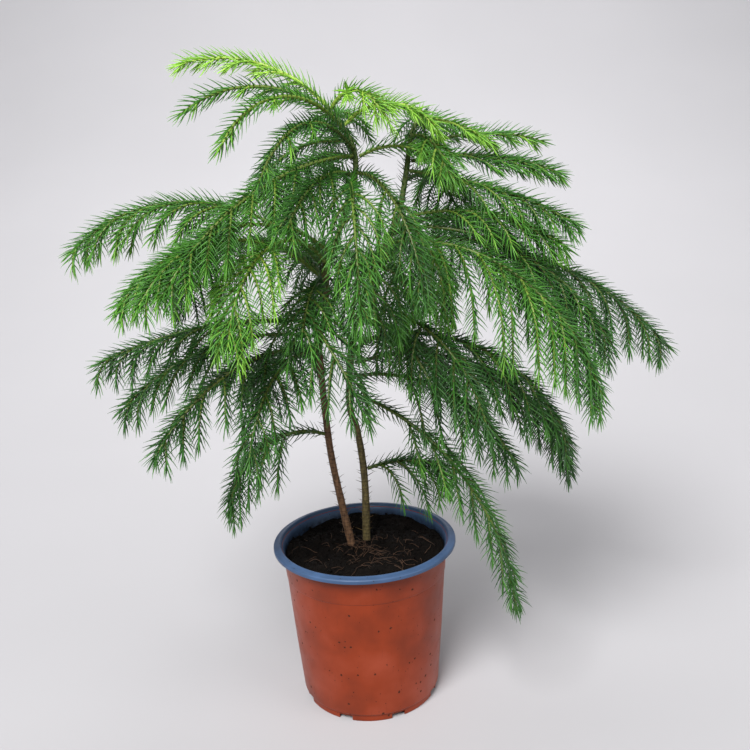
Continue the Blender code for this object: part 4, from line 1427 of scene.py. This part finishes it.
class ARAUCARIA_OT_stage(bpy.types.Operator):
    """Sets the pale floor and backdrop, the soft lights and the camera"""

    bl_idname = "araucaria.stage"
    bl_label = "Stage"

    def execute(self, context):
        settings = context.scene.araucaria_stage
        mesh = backdrop_mesh()
        mesh.materials.append(backdrop_paper_painted_shade(settings.floor))
        backdrop = bpy.data.objects.new("backdrop", mesh)
        context.scene.collection.objects.link(backdrop)

        world = bpy.data.worlds.new("studio")
        world.use_nodes = True
        shade = world.node_tree.nodes["Background"]
        shade.inputs["Color"].default_value = (0.93, 0.96, 1.0, 1)
        shade.inputs["Strength"].default_value = settings.sky
        context.scene.world = world
        add_light("key", (-0.5, -1.2, 1.55), CROWN_MIDDLE, 0.95, settings.key_power)
        add_light("fill", (1.3, -0.7, 0.9), CROWN_MIDDLE, 1.2, settings.fill_power)
        add_light("backdrop_light", (0.1, 0.5, 2.1), (0.1, 2.2, 0.65), 1.2, settings.backdrop_power)

        camera = bpy.data.cameras.new("camera")
        camera.sensor_width = 36
        camera.lens = settings.focal_length
        camera.clip_start = 0.01
        obj = bpy.data.objects.new("camera", camera)
        context.scene.collection.objects.link(obj)
        pitch, roll = math.radians(CAMERA_PITCH), math.radians(CAMERA_ROLL)
        ahead = Vector((0, math.cos(pitch), -math.sin(pitch)))
        right = Vector((1, 0, 0))
        up = right.cross(ahead)
        across = right * math.cos(roll) + up * math.sin(roll)
        upward = up * math.cos(roll) - right * math.sin(roll)
        turn = Matrix((across, upward, -ahead)).transposed().to_4x4()
        obj.matrix_world = Matrix.Translation(Vector(CAMERA_PLACE) + POT_AXIS) @ turn
        context.scene.camera = obj
        context.scene.view_settings.view_transform = "Standard"
        return {"FINISHED"}


# ------------------------------------------------------------------ add-on


class ARAUCARIA_PT_panel(bpy.types.Panel):
    """Sizes, colours and the steps that build the plant"""

    bl_idname = "ARAUCARIA_PT_panel"
    bl_label = "Potted araucaria"
    bl_space_type = "VIEW_3D"
    bl_region_type = "UI"
    bl_category = "Araucaria"

    def draw(self, context):
        for operator, group in STEPS:
            box = self.layout.box()
            settings = getattr(context.scene, group)
            for name in settings.__annotations__:
                box.prop(settings, name)
            box.operator(operator.bl_idname)


GROUPS = {
    "araucaria_pot": PotSettings,
    "araucaria_soil": SoilSettings,
    "araucaria_stems": StemSettings,
    "araucaria_foliage": FoliageSettings,
    "araucaria_stage": StageSettings,
}
STEPS = (
    (ARAUCARIA_OT_pot, "araucaria_pot"),
    (ARAUCARIA_OT_soil, "araucaria_soil"),
    (ARAUCARIA_OT_stems, "araucaria_stems"),
    (ARAUCARIA_OT_foliage, "araucaria_foliage"),
    (ARAUCARIA_OT_stage, "araucaria_stage"),
)
CLASSES = (*GROUPS.values(), *(operator for operator, _ in STEPS), ARAUCARIA_PT_panel)


def register():
    for cls in CLASSES:
        bpy.utils.register_class(cls)
    for name, group in GROUPS.items():
        setattr(bpy.types.Scene, name, bpy.props.PointerProperty(type=group))


def unregister():
    for name in GROUPS:
        delattr(bpy.types.Scene, name)
    for cls in reversed(CLASSES):
        bpy.utils.unregister_class(cls)


def main():
    register()
    bpy.ops.araucaria.pot()
    bpy.ops.araucaria.soil()
    bpy.ops.araucaria.stems()
    bpy.ops.araucaria.foliage()
    bpy.ops.araucaria.stage()


if __name__ == "__main__":
    main()
